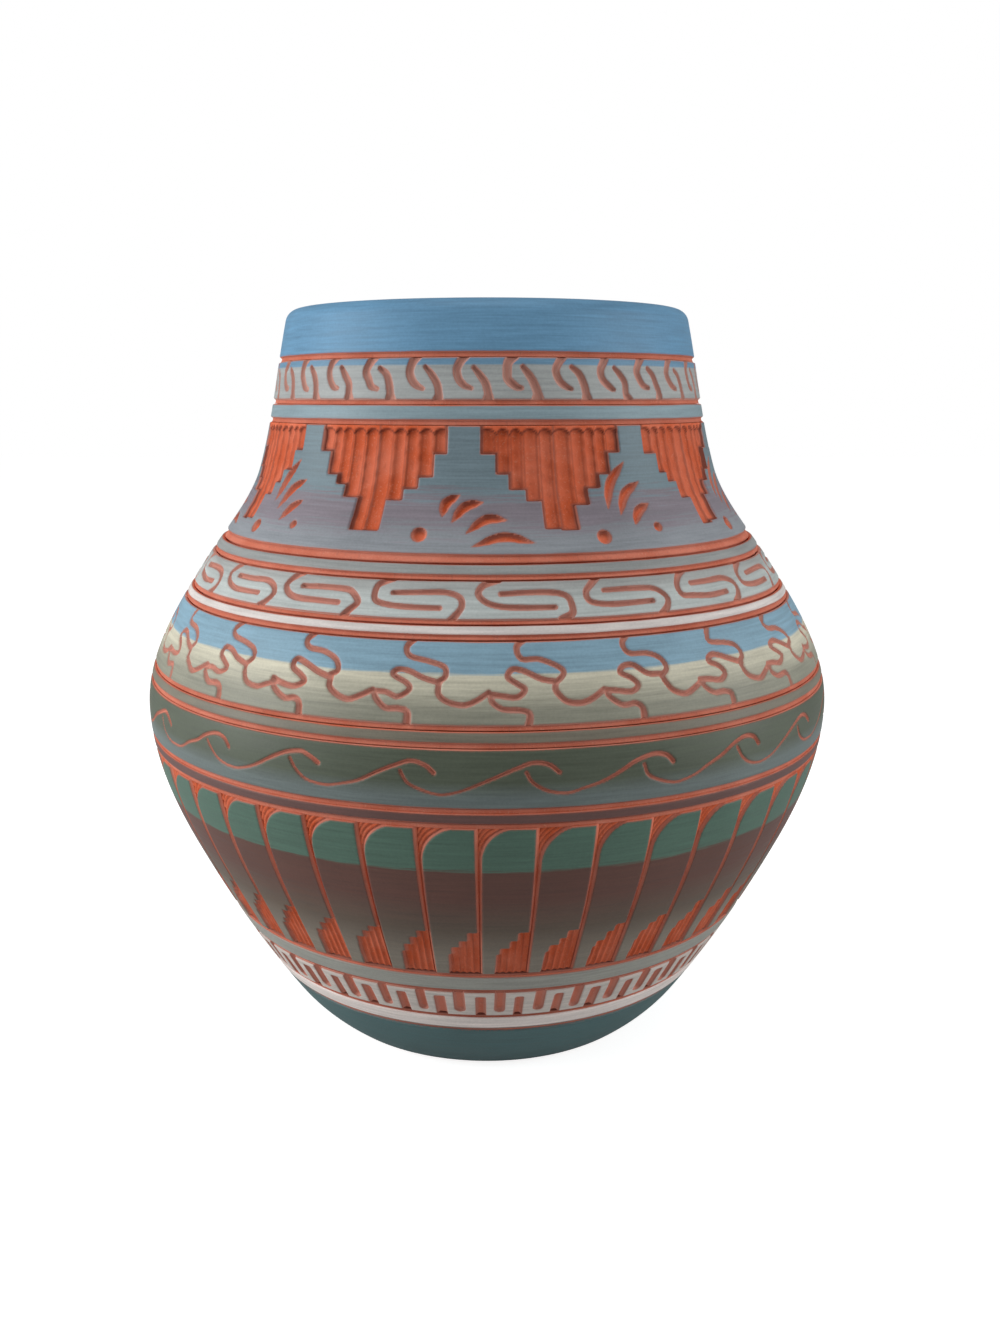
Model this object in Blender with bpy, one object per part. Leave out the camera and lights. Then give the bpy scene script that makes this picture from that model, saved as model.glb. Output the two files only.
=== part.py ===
"""Etched pottery jar: a turned clay body, and the painted coats that etched rings cut into bands."""
import math

import bmesh
import bpy

# Outline of the coated jar: rises between its knots, from the base up
FOOT_RISE = 0.012
FLANK_RISE = 0.040
BELLY_RISE = 0.0325
SHOULDER_RISE = 0.0335
NECK_RISE = 0.023
COLLAR_RISE = 0.037

# Outside radius at each knot
BASE_RADIUS = 0.0418
FOOT_RADIUS = 0.0535
FLANK_RADIUS = 0.0762
BELLY_RADIUS = 0.0851
SHOULDER_RADIUS = 0.0706
NECK_RADIUS = 0.0561
RIM_RADIUS = 0.0482

# Outward lean of the wall at each knot; the belly stands upright
BASE_LEAN = math.radians(53.0)
FOOT_LEAN = math.radians(34.4)
FLANK_LEAN = math.radians(25.5)
BELLY_LEAN = 0.0
SHOULDER_LEAN = math.radians(-33.7)
NECK_LEAN = math.radians(-16.8)
RIM_LEAN = math.radians(-13.5)

# Clay wall, inside floor, coat and the seat between coat and clay
WALL = 0.005
FLOOR_THICKNESS = 0.006
COAT_THICKNESS = 0.0005
COAT_SEAT = 0.0003

# Etched rings between the bands, and the bare clay under the lowest coat
RING_WIDTH = 0.0010
WIDE_RING_WIDTH = 0.0017
BARE_FOOT = 0.0008
LIP_WRAP = math.radians(35.0)

# Heights of the plain bands and stripes, from the rim down
RIM_BAND_HEIGHT = 0.0112
HOOK_BAND_HEIGHT = 0.0087
NECK_STRIPE_HEIGHT = 0.0032
SHOULDER_STRIPE_HEIGHT = 0.0021
SCROLL_BAND_HEIGHT = 0.0071
WHITE_STRIPE_HEIGHT = 0.0018
MEANDER_BAND_HEIGHT = 0.0153
OLIVE_STRIPE_HEIGHT = 0.0023
WAVE_BAND_HEIGHT = 0.0121
MAUVE_STRIPE_HEIGHT = 0.0023
GREY_STRIPE_HEIGHT = 0.0042
FOOT_STRIPE_HEIGHT = 0.0037

# Stepped terraces carved down from the top of the step band
TERRACE_COUNT = 9
TERRACE_CENTRE = math.radians(-75.0)
TERRACE_ANGLES = (math.radians(33.0), math.radians(26.0), math.radians(16.0), math.radians(8.0))
TERRACE_DROPS = (0.0060, 0.0049, 0.0044, 0.0059)
TERRACE_FOOT = 0.0043

# Feathers: upright lines, a rounded tip beside each line and a carved patch at its foot
FEATHER_COUNT = 43
FEATHER_CENTRE = math.radians(-91.2)
FEATHER_LINE_WIDTH = 0.0013
FEATHER_TIP_HEIGHT = 0.0078
FEATHER_TIP_WIDTH = 0.0070
FEATHER_SHAFT_HEIGHT = 0.0194
FEATHER_PATCH_SLOPE = 0.0042
FEATHER_PATCH_SIDE = 0.0075
FEATHER_PATCH_WIDTH = 0.0048
FEATHER_TIP_STEPS = 3

# Key fret: slots that hang and rise by turns, each closed by a ledge
KEY_COUNT = 45
KEY_CENTRE = math.radians(-87.4)
KEY_SLOT_WIDTH = 0.0023
KEY_REACH = 0.0049
KEY_LEDGE = 0.0014

# Facets: sides round the turned pieces, steps over the lip, and the tallest row on coat and hollow
SIDES = 44
LIP_STEPS = 4
COAT_ROW_HEIGHT = 0.008
HOLLOW_ROW_HEIGHT = 0.020
MERGE_DISTANCE = 1e-6

STEP_BAND_HEIGHT = TERRACE_FOOT + sum(TERRACE_DROPS)
FEATHER_PATCH_HEIGHT = FEATHER_PATCH_SIDE + FEATHER_PATCH_SLOPE
FEATHER_BAND_HEIGHT = FEATHER_PATCH_HEIGHT + FEATHER_SHAFT_HEIGHT + FEATHER_TIP_HEIGHT
KEY_BAND_HEIGHT = KEY_REACH + 2.0 * KEY_LEDGE
COAT_DEPTH = COAT_THICKNESS + COAT_SEAT
LIP_RADIUS = WALL / 2.0 + COAT_DEPTH
FULL_TURN = 2.0 * math.pi

# Name, height, and width of the ring etched above each coat, from the rim down; the foot takes the rest
COATS = (
    ("rim_band", RIM_BAND_HEIGHT, 0.0),
    ("hook_band", HOOK_BAND_HEIGHT, RING_WIDTH),
    ("neck_stripe", NECK_STRIPE_HEIGHT, RING_WIDTH),
    ("step_band", STEP_BAND_HEIGHT, RING_WIDTH),
    ("shoulder_stripe", SHOULDER_STRIPE_HEIGHT, WIDE_RING_WIDTH),
    ("scroll_band", SCROLL_BAND_HEIGHT, RING_WIDTH),
    ("white_stripe", WHITE_STRIPE_HEIGHT, RING_WIDTH),
    ("meander_band", MEANDER_BAND_HEIGHT, RING_WIDTH),
    ("olive_stripe", OLIVE_STRIPE_HEIGHT, RING_WIDTH),
    ("wave_band", WAVE_BAND_HEIGHT, RING_WIDTH),
    ("mauve_stripe", MAUVE_STRIPE_HEIGHT, RING_WIDTH),
    ("feathers", FEATHER_BAND_HEIGHT, RING_WIDTH),
    ("grey_stripe", GREY_STRIPE_HEIGHT, RING_WIDTH),
    ("key_band", KEY_BAND_HEIGHT, RING_WIDTH),
    ("foot_stripe", FOOT_STRIPE_HEIGHT, RING_WIDTH),
)

# Colours as red, green and blue out of 255, and roughness
FINISHES = {
    "clay_body": ((184, 98, 68), 0.85),
    "rim_band": ((92, 134, 163), 0.55),
    "hook_band": ((165, 185, 180), 0.55),
    "neck_stripe": ((122, 150, 158), 0.55),
    "step_band": ((110, 126, 134), 0.55),
    "shoulder_stripe": ((114, 142, 146), 0.55),
    "scroll_band": ((160, 184, 182), 0.55),
    "white_stripe": ((226, 217, 206), 0.55),
    "meander_band": ((138, 158, 158), 0.55),
    "olive_stripe": ((120, 130, 118), 0.55),
    "wave_band": ((88, 104, 102), 0.55),
    "mauve_stripe": ((108, 92, 88), 0.55),
    "feather": ((96, 84, 76), 0.55),
    "grey_stripe": ((122, 138, 140), 0.55),
    "key_band": ((202, 205, 202), 0.55),
    "foot_stripe": ((220, 205, 200), 0.55),
    "foot_band": ((76, 106, 110), 0.55),
}


def clear_scene():
    for thing in list(bpy.data.objects):
        bpy.data.objects.remove(thing, do_unlink=True)


def linear(channel):
    """Turn a colour channel out of 255 into the linear value that a shader takes."""
    share = channel / 255.0
    if share <= 0.04045:
        return share / 12.92
    return ((share + 0.055) / 1.055) ** 2.4


def outline_knots():
    """Height, radius and slope of the coated outline at each knot."""
    rises = (0.0, FOOT_RISE, FLANK_RISE, BELLY_RISE, SHOULDER_RISE, NECK_RISE, COLLAR_RISE)
    radii = (BASE_RADIUS, FOOT_RADIUS, FLANK_RADIUS, BELLY_RADIUS, SHOULDER_RADIUS, NECK_RADIUS, RIM_RADIUS)
    leans = (BASE_LEAN, FOOT_LEAN, FLANK_LEAN, BELLY_LEAN, SHOULDER_LEAN, NECK_LEAN, RIM_LEAN)
    knots = []
    height = 0.0
    for rise, radius, lean in zip(rises, radii, leans):
        height += rise
        knots.append((height, radius, math.tan(lean)))
    return knots


KNOTS = outline_knots()
JAR_HEIGHT = KNOTS[-1][0]


def outline(height):
    """Radius and slope of the coated outline at a height, on smooth cubics between the knots."""
    span = 0
    while span < len(KNOTS) - 2 and height > KNOTS[span + 1][0]:
        span += 1
    low, low_radius, low_slope = KNOTS[span]
    high, high_radius, high_slope = KNOTS[span + 1]
    width = high - low
    t = (height - low) / width
    radius = (2 * t**3 - 3 * t**2 + 1) * low_radius + (3 * t**2 - 2 * t**3) * high_radius
    radius += width * ((t**3 - 2 * t**2 + t) * low_slope + (t**3 - t**2) * high_slope)
    slope = (6 * t**2 - 6 * t) * (low_radius - high_radius) / width
    slope += (3 * t**2 - 4 * t + 1) * low_slope + (3 * t**2 - 2 * t) * high_slope
    return radius, slope


def wall_point(height, depth):
    """Radius and height of a point that lies depth below the coat's face, measured square to it."""
    radius, slope = outline(height)
    return radius - depth * math.hypot(1.0, slope), height


def lip_frame():
    """Centre of the rounded lip, and the angle at which the outside wall runs into it."""
    centre_height = JAR_HEIGHT - LIP_RADIUS
    tilt = -math.atan(outline(centre_height)[1])
    tangent_height = centre_height + LIP_RADIUS * math.sin(tilt)
    centre_radius = outline(tangent_height)[0] - LIP_RADIUS * math.cos(tilt)
    return centre_radius, centre_height, tilt


def lip_point(angle, depth):
    """Point on the lip's arc, depth below the coat's face."""
    centre_radius, centre_height, _ = lip_frame()
    reach = LIP_RADIUS - depth
    return centre_radius + reach * math.cos(angle), centre_height + reach * math.sin(angle)


def even_steps(start, end, count):
    return [start + (end - start) * step / count for step in range(count + 1)]


def even_rows(start, end, row_height):
    """Heights from start to end in equal rows no taller than row_height."""
    return even_steps(start, end, max(1, math.ceil(abs(end - start) / row_height)))


def add_object(name, mesh_builder, finish):
    """Finish a built mesh as a smooth-shaded object with its own material."""
    bmesh.ops.recalc_face_normals(mesh_builder, faces=mesh_builder.faces)
    mesh = bpy.data.meshes.new(name)
    mesh_builder.to_mesh(mesh)
    mesh_builder.free()
    mesh.shade_smooth()
    mesh.set_sharp_from_angle(angle=math.radians(40.0))
    colour, roughness = FINISHES[finish]
    material = bpy.data.materials.new(name)
    material.use_nodes = True
    shader = material.node_tree.nodes["Principled BSDF"]
    shader.inputs["Base Color"].default_value = [linear(channel) for channel in colour] + [1.0]
    shader.inputs["Roughness"].default_value = roughness
    shader.inputs["Metallic"].default_value = 0.0
    mesh.materials.append(material)
    piece = bpy.data.objects.new(name, mesh)
    bpy.context.scene.collection.objects.link(piece)
    return piece


def step_heights(low, high):
    """The levels of the terraces, above the plain foot of their band."""
    heights = [high]
    for drop in TERRACE_DROPS:
        heights.insert(0, heights[0] - drop)
    return [low] + heights


def feather_heights(low, high):
    """Foot of the patch, its corner, both ends of the shaft, and the steps round the tip."""
    tip_low = high - FEATHER_TIP_HEIGHT
    turns = even_steps(0.0, math.pi / 2.0, FEATHER_TIP_STEPS)
    tip = [tip_low + FEATHER_TIP_HEIGHT * math.sin(turn) for turn in turns]
    return [low, low + FEATHER_PATCH_SIDE, low + FEATHER_PATCH_HEIGHT] + tip


def key_heights(low, high):
    return [low, low + KEY_LEDGE, high - KEY_LEDGE, high]


def rim_heights(low, high):
    """Up the collar to where the lip begins to turn over."""
    return even_rows(low, lip_point(lip_frame()[2], 0.0)[1], COAT_ROW_HEIGHT)


def plain_heights(low, high):
    return even_rows(low, high, COAT_ROW_HEIGHT)


SHAPED_HEIGHTS = {"rim_band": rim_heights, "step_band": step_heights, "feathers": feather_heights,
                  "key_band": key_heights}


def coat_layout():
    """Name and row heights of each coat, from the rim down; the foot takes what is left."""
    layout = []
    high = JAR_HEIGHT
    for name, height, ring in COATS:
        high -= ring
        low = high - height
        layout.append((name, SHAPED_HEIGHTS.get(name, plain_heights)(low, high)))
        high = low
    layout.append(("foot_band", plain_heights(BARE_FOOT, high - RING_WIDTH)))
    return layout


def clay_heights():
    """Rows of the clay wall, in step with the coats' rows and with the middle of each ring."""
    heights = [0.0]
    ring_low = None
    for _, rows in reversed(coat_layout()):
        if ring_low is not None:
            heights.append((ring_low + rows[0]) / 2.0)
        heights += rows[1:-1]
        ring_low = rows[-1]
    return heights


def clay_profile():
    """Section of the clay body, from the middle of its base, up the outside and down the hollow."""
    _, _, tilt = lip_frame()
    lip_end = lip_point(tilt + math.pi, COAT_DEPTH)
    full_depth = COAT_DEPTH + WALL
    points = [(0.0, 0.0)]
    points += [wall_point(height, COAT_DEPTH) for height in clay_heights()]
    points += [lip_point(angle, COAT_DEPTH) for angle in even_steps(tilt, tilt + math.pi, LIP_STEPS)]
    hollow = even_rows(lip_end[1], FLOOR_THICKNESS, HOLLOW_ROW_HEIGHT)[1:]
    points += [wall_point(height, full_depth) for height in hollow]
    points.append((0.0, FLOOR_THICKNESS))
    return points


def clay_body():
    """Turn the section once round the upright axis."""
    builder = bmesh.new()
    verts = [builder.verts.new((radius, 0.0, height)) for radius, height in clay_profile()]
    edges = [builder.edges.new(pair) for pair in zip(verts, verts[1:])]
    bmesh.ops.spin(builder, geom=verts + edges, cent=(0, 0, 0), axis=(0, 0, 1), angle=FULL_TURN,
                   steps=SIDES, use_merge=True)
    bmesh.ops.remove_doubles(builder, verts=builder.verts, dist=MERGE_DISTANCE)
    add_object("clay_body", builder, "clay_body")


def coat_stations(heights):
    """Outer and inner point of a coat at each height."""
    return [(wall_point(height, 0.0), wall_point(height, COAT_THICKNESS)) for height in heights]


def add_coat(name, stations, columns, angle_at, is_kept, finish=None):
    """Wrap a coat round the jar from a grid of cells, with walls wherever a cell is etched away."""
    builder = bmesh.new()
    rows = len(stations)
    outer = {}
    inner = {}
    for row, (face, back) in enumerate(stations):
        for column in range(columns):
            angle = angle_at(column, row)
            for store, (radius, height) in ((outer, face), (inner, back)):
                place = (radius * math.cos(angle), radius * math.sin(angle), height)
                store[row, column] = builder.verts.new(place)

    def has_cell(row, column):
        return 0 <= row < rows - 1 and is_kept(row, column % columns)

    for row in range(rows - 1):
        for column in range(columns):
            if not has_cell(row, column):
                continue
            after = (column + 1) % columns
            corners = ((row, column), (row, after), (row + 1, after), (row + 1, column))
            builder.faces.new([outer[corner] for corner in corners])
            builder.faces.new([inner[corner] for corner in reversed(corners)])
            neighbours = ((row - 1, column), (row, column + 1), (row + 1, column), (row, column - 1))
            for side, neighbour in enumerate(neighbours):
                if has_cell(*neighbour):
                    continue
                start = corners[side]
                end = corners[(side + 1) % 4]
                builder.faces.new((outer[end], outer[start], inner[start], inner[end]))
    spare = [vert for vert in builder.verts if not vert.link_faces]
    bmesh.ops.delete(builder, geom=spare, context="VERTS")
    add_object(name, builder, finish or name)


def plain_coat(name, stations):
    """A coat with no cut-outs, faceted in step with the clay body."""
    add_coat(name, stations, SIDES, lambda column, row: FULL_TURN * column / SIDES, lambda row, column: True)


def rim_band(heights):
    """The topmost coat runs up the collar and over the lip."""
    _, _, tilt = lip_frame()
    stations = coat_stations(heights[:-1])
    for angle in even_steps(tilt, math.pi / 2.0 + LIP_WRAP, LIP_STEPS):
        stations.append((lip_point(angle, 0.0), lip_point(angle, COAT_THICKNESS)))
    plain_coat("rim_band", stations)


def step_band(heights):
    """Terraces hang from the band's top edge and narrow by steps to a stem."""
    levels = len(TERRACE_ANGLES)
    halves = [angle / 2.0 for angle in TERRACE_ANGLES]
    edges = [-half for half in halves] + halves[::-1]
    columns = len(edges)
    pitch = FULL_TURN / TERRACE_COUNT

    def angle_at(column, row):
        return TERRACE_CENTRE + pitch * (column // columns) + edges[column % columns]

    def is_kept(row, column):
        place = column % columns
        depth = min(place + 1, columns - 1 - place)
        return row < levels + 1 - depth

    add_coat("step_band", coat_stations(heights), columns * TERRACE_COUNT, angle_at, is_kept)


def feathers(heights):
    """Each feather stands between two etched lines, with a rounded tip and a patch cut from its foot."""
    turns = even_steps(0.0, math.pi / 2.0, FEATHER_TIP_STEPS)
    plain_rows = len(heights) - len(turns)
    tip_cuts = [0.0] * plain_rows + [FEATHER_TIP_WIDTH * (1.0 - math.cos(turn)) for turn in turns]
    patch_cuts = [FEATHER_PATCH_WIDTH] * 2 + [0.0] * (len(heights) - 2)
    pitch = FULL_TURN / FEATHER_COUNT
    stations = coat_stations(heights)
    for feather in range(FEATHER_COUNT):
        line = FEATHER_CENTRE + pitch * feather

        def angle_at(column, row, line=line):
            radius = outline(heights[row])[0]
            if column == 0:
                return line + (FEATHER_LINE_WIDTH / 2.0 + tip_cuts[row]) / radius
            return line + pitch - (FEATHER_LINE_WIDTH / 2.0 + patch_cuts[row]) / radius

        add_coat(f"feather_{feather + 1:02d}", stations, 2, angle_at, lambda row, column: column == 0, "feather")


def key_band(heights):
    """Slots from the top and from the bottom by turns leave one folded ribbon."""
    pitch = FULL_TURN / KEY_COUNT
    slot = KEY_SLOT_WIDTH / outline((heights[0] + heights[-1]) / 2.0)[0]
    edges = (-slot / 2.0, slot / 2.0, (pitch - slot) / 2.0, (pitch + slot) / 2.0)
    columns = len(edges)

    def angle_at(column, row):
        return KEY_CENTRE + pitch * (column // columns) + edges[column % columns]

    def is_kept(row, column):
        place = column % columns
        if place == 0:
            return row == 0
        if place == 2:
            return row == len(heights) - 2
        return True

    add_coat("key_band", coat_stations(heights), columns * KEY_COUNT, angle_at, is_kept)


SHAPED_COATS = {"rim_band": rim_band, "step_band": step_band, "feathers": feathers, "key_band": key_band}


def build_coats():
    for name, heights in coat_layout():
        if name in SHAPED_COATS:
            SHAPED_COATS[name](heights)
        else:
            plain_coat(name, coat_stations(heights))


clear_scene()
clay_body()
build_coats()
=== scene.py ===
"""Etched pottery jar: painted coats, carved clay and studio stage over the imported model."""
import math

import bpy
import numpy as np
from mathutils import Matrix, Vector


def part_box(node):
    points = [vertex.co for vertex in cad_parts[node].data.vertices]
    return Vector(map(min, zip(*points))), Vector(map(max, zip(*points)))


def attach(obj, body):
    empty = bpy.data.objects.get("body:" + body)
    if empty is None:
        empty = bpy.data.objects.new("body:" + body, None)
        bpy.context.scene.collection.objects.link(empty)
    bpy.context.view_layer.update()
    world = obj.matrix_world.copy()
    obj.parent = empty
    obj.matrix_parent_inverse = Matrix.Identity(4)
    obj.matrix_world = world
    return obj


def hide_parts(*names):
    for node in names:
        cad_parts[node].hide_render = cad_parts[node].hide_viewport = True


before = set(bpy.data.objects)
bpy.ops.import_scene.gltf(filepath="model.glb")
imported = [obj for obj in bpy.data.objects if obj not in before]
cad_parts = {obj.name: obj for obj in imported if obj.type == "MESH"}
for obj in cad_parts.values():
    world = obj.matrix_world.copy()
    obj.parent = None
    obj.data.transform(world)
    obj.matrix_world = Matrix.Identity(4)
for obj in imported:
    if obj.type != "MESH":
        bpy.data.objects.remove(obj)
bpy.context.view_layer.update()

bl_info = {
    "name": "Etched Pottery Jar",
    "version": (1, 0, 0),
    "blender": (4, 5, 0),
    "location": "View3D > Sidebar > Jar",
    "description": "Paints and carves the coats of an etched jar over its packed model",
    "category": "Object",
}

MM = 0.001
FULL_TURN = 2.0 * math.pi

# Outline of the coated jar at its knots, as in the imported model: height, radius, outward lean
KNOTS = (
    (0.0, 0.0418, 53.0),
    (0.012, 0.0535, 34.4),
    (0.052, 0.0762, 25.5),
    (0.0845, 0.0851, 0.0),
    (0.118, 0.0706, -33.7),
    (0.141, 0.0561, -16.8),
    (0.178, 0.0482, -13.5),
)
JAR_HEIGHT = KNOTS[-1][0]
BELLY_RADIUS = KNOTS[3][1]

# Depths below the coat's face: its skin, its back, the clay, the hollow; and the least coat left in a cut
SKIN = 0.03 * MM
COAT_BACK = 1.25 * MM
CLAY_DEPTH = 1.30 * MM
HOLLOW_DEPTH = 5.80 * MM
THINNEST_COAT = 0.08 * MM

# Rounded lip, how far the coat goes over it, and the floor inside with its fillet
LIP_RADIUS = 3.30 * MM
LIP_WRAP = math.radians(35.0)
FLOOR_HEIGHT = 6.0 * MM
FLOOR_FILLET = 5.0 * MM

# Coats from the rim down; the feathers stand between the mauve and the grey stripe
COATS = ("rim_band", "hook_band", "neck_stripe", "step_band", "shoulder_stripe", "scroll_band",
         "white_stripe", "meander_band", "olive_stripe", "wave_band", "mauve_stripe", "feather_01",
         "grey_stripe", "key_band", "foot_stripe", "foot_band")
FEATHERS = sorted(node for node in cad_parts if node.startswith("feather_"))

# Rows that step in from a coat's edge, the rows of its hidden back, and the steps of the line under them
EDGE_ROWS = (0.0, 0.07 * MM, 0.15 * MM, 0.25 * MM, 0.38 * MM)
BACK_ROW = 3.0 * MM
WALL_STEPS = 1500
LIP_STEPS = 500

# Cells of the carved coats, and of the plain ones and the clay, which need fewer round the jar
CELLS = {"hook_band": 0.21 * MM, "step_band": 0.36 * MM, "scroll_band": 0.25 * MM, "meander_band": 0.34 * MM,
         "wave_band": 0.30 * MM, "key_band": 0.24 * MM}
STRIPE_CELL = 0.45 * MM
STRIPE_COLUMNS = 256
CLAY_COLUMNS = 256

# Places on a coat's texture: its face, back, lower and upper edge and sides, and how full a strip is
FACE_STRIP = (0.10, 1.0)
BACK_STRIP = (0.02, 0.06)
UNDER_STRIP = (0.07, 0.08)
OVER_STRIP = (0.085, 0.095)
SIDE_LINE = 0.01
STRIP_FILL = 0.94

# Places on the texture of the clay: its turned face, and the two caps at the axis
TURNED_STRIP = (0.02, 1.0)
CAP_RADIUS = 0.004
CAP_STEP = 0.02

# Distance that stands for no cut near by, and the least length of a stroke's step, squared
FAR = 5.0 * MM
TINY = 1e-18

# Spread of a size set by hand, and waves round the jar and seed of a coat's unsteady edges
HAND_SPREAD = (0.92, 1.08)
EDGE_WAVES = (3, 7, 13, 29, 47)
EDGE_SEED = 100


def paint(name, description, red, green, blue):
    """A coat colour given out of 255, as seen in plain light."""
    return bpy.props.FloatVectorProperty(
        name=name, description=description, subtype="COLOR_GAMMA", size=3, min=0.0, max=1.0,
        default=(red / 255.0, green / 255.0, blue / 255.0))


def amount(name, description, default, **limits):
    """A number that can be set."""
    return bpy.props.FloatProperty(name=name, description=description, default=default, **limits)


def length(name, description, default):
    """A size in metres."""
    return amount(name, description, default, min=0.0, unit="LENGTH", precision=5)


def power(name, description, default):
    """The power of a lamp in watts."""
    return amount(name, description, default, min=0.0, unit="POWER")


class JarCarving(bpy.types.PropertyGroup):
    """Depths and widths of the etched lines."""

    line_depth: length("Line depth", "Depth of an etched stroke", 0.85 * MM)
    line_roll: length("Line roll", "Distance over which a stroke sinks to its depth", 0.50 * MM)
    ring_depth: length("Ring depth", "Depth of the clay at the middle of an etched ring", 0.62 * MM)
    edge_drop: length("Edge drop", "How far a coat's edge rolls down into a ring", 0.42 * MM)
    edge_roll: length("Edge roll", "Width of that rolled edge", 0.40 * MM)
    bare_edge: length("Bare edge", "Clay that shows along a coat's edge", 0.20 * MM)
    hand_wobble: length("Hand wobble", "Unsteadiness of the edges", 0.07 * MM)
    terrace_depth: length("Terrace depth", "Depth of the carved terraces at their ridges", 0.55 * MM)
    flute_depth: length("Flute depth", "Depth of each gouge below those ridges", 0.52 * MM)


class JarPaint(bpy.types.PropertyGroup):
    """Colours of the clay and of the sprayed coats."""

    clay: paint("Clay", "Fired clay where it is freshly cut", 212, 108, 76)
    clay_burnt: paint("Burnt clay", "Darker, more orange patches of the clay", 200, 86, 44)
    clay_shade: paint("Clay shade", "Clay in the shade of a cut", 96, 42, 30)
    clay_dust: paint("Clay dust", "Pale dust on the grain of the clay", 222, 156, 130)
    ring_dust: paint("Ring dust", "Paint dust left on the clay of the rings", 166, 156, 150)
    stroke_dust: paint("Stroke dust", "Pale dust of paint in the strokes", 192, 167, 158)
    rim_blue: paint("Rim blue", "Rim and collar", 96, 141, 173)
    hook_strip: paint("Hook strip", "Top of the hook band", 102, 139, 165)
    hook_pale: paint("Hook pale", "Hook band", 156, 160, 159)
    neck_blue: paint("Neck blue", "Stripe below the hooks", 129, 149, 157)
    step_teal: paint("Step teal", "Upper step band", 107, 125, 133)
    step_mauve: paint("Step mauve", "Middle of the step band", 124, 117, 125)
    step_low: paint("Step low", "Foot of the step band", 136, 141, 147)
    shoulder_grey: paint("Shoulder grey", "Stripe below the steps", 142, 145, 144)
    scroll_high: paint("Scroll high", "Top of the scroll band", 152, 153, 151)
    scroll_low: paint("Scroll low", "Foot of the scroll band", 176, 183, 181)
    white: paint("White", "White stripe", 207, 200, 196)
    meander_blue: paint("Meander blue", "Upper meander band", 126, 159, 177)
    meander_cream: paint("Meander cream", "Middle of the meander band", 198, 194, 174)
    meander_olive: paint("Meander olive", "Foot of the meander band", 136, 136, 122)
    olive: paint("Olive", "Stripe above the waves", 117, 112, 99)
    wave_green: paint("Wave green", "Upper wave band", 80, 88, 74)
    wave_slate: paint("Wave slate", "Foot of the wave band", 102, 113, 112)
    mauve: paint("Mauve", "Stripe above the feathers", 98, 71, 67)
    feather_teal: paint("Feather teal", "Tips of the feathers", 76, 104, 91)
    feather_maroon: paint("Feather maroon", "Middle of the feathers", 92, 62, 54)
    feather_umber: paint("Feather umber", "Lower shafts of the feathers", 92, 80, 69)
    feather_grey: paint("Feather grey", "Feet of the feathers", 124, 117, 106)
    grey: paint("Grey", "Stripe below the feathers", 150, 151, 144)
    key_pale: paint("Key pale", "Key band", 198, 191, 184)
    foot_pale: paint("Foot pale", "Stripe below the key band", 229, 220, 215)
    foot_teal: paint("Foot teal", "Foot of the jar", 73, 103, 105)


class JarStage(bpy.types.PropertyGroup):
    """Camera, lights and floor."""

    camera_distance: length("Camera distance", "Level distance from the jar's axis", 0.3135)
    camera_height: length("Camera height", "Height of the camera above the floor", 0.1578)
    camera_pitch: amount("Camera pitch", "How far the camera looks down", math.radians(12.362),
                         subtype="ANGLE")
    camera_lens: amount("Camera lens", "Focal length on a 36 mm frame", 33.30, unit="CAMERA")
    camera_shift: amount("Camera shift", "Sideways shift of the frame", 0.00975, precision=5)
    left_power: power("Left lamp", "Power of the soft lamp on the left", 3.7)
    right_power: power("Right lamp", "Power of the soft lamp on the right", 2.2)
    top_power: power("Top lamp", "Power of the soft lamp overhead", 1.6)
    room_light: amount("Room light", "Strength of the even light of the room", 0.30)
    floor_glow: amount("Floor glow", "How far the floor is lifted to white for the camera", 0.82)
    floor_sheen: amount("Floor sheen", "How far the floor is lifted to white in the coat's sheen", 0.12)


# Soft lamps: place, the point it is aimed at, size, and the setting that holds its power
LAMPS = {
    "left_lamp": ((-0.66, -0.16, 0.24), (0.0, 0.0, 0.09), (0.35, 0.40), "left_power"),
    "top_lamp": ((0.0, -0.22, 0.80), (0.0, 0.0, 0.10), (0.40, 0.40), "top_power"),
    "right_lamp": ((0.66, -0.16, 0.22), (0.0, 0.0, 0.09), (0.35, 0.40), "right_power"),
}

# Floor: half its width, how far it lies below the jar, and its roughness; the room's white; the nearest view
FLOOR_HALF = 3.0
FLOOR_DROP = 0.02 * MM
FLOOR_ROUGHNESS = 0.9
WHITE = (1.0, 1.0, 1.0, 1.0)
NEAREST_VIEW = 0.01

# Coats of one colour, by its name among the paints
PLAIN_PAINTS = {
    "rim_band": "rim_blue", "neck_stripe": "neck_blue", "shoulder_stripe": "shoulder_grey",
    "white_stripe": "white", "olive_stripe": "olive", "mauve_stripe": "mauve", "grey_stripe": "grey",
    "key_band": "key_pale", "foot_stripe": "foot_pale", "foot_band": "foot_teal",
}

# Colours of each coat from its foot up: share of its height, and name among the paints
RAMPS = {
    "hook_band": ((0.0, "hook_pale"), (0.80, "hook_pale"), (0.84, "hook_strip"), (1.0, "hook_strip")),
    "step_band": ((0.0, "step_low"), (0.12, "step_low"), (0.24, "step_mauve"), (0.40, "step_mauve"),
                  (0.50, "step_teal"), (1.0, "step_teal")),
    "scroll_band": ((0.0, "scroll_low"), (0.45, "scroll_low"), (1.0, "scroll_high")),
    "meander_band": ((0.0, "meander_olive"), (0.16, "meander_olive"), (0.57, "meander_cream"),
                     (0.595, "meander_cream"), (0.625, "meander_blue"), (1.0, "meander_blue")),
    "wave_band": ((0.0, "wave_slate"), (0.18, "wave_slate"), (0.46, "wave_green"), (1.0, "wave_green")),
    "feather": ((0.0, "feather_grey"), (0.12, "feather_grey"), (0.34, "feather_umber"),
                (0.56, "feather_maroon"), (0.735, "feather_maroon"), (0.755, "feather_teal"),
                (1.0, "feather_teal")),
}
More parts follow.
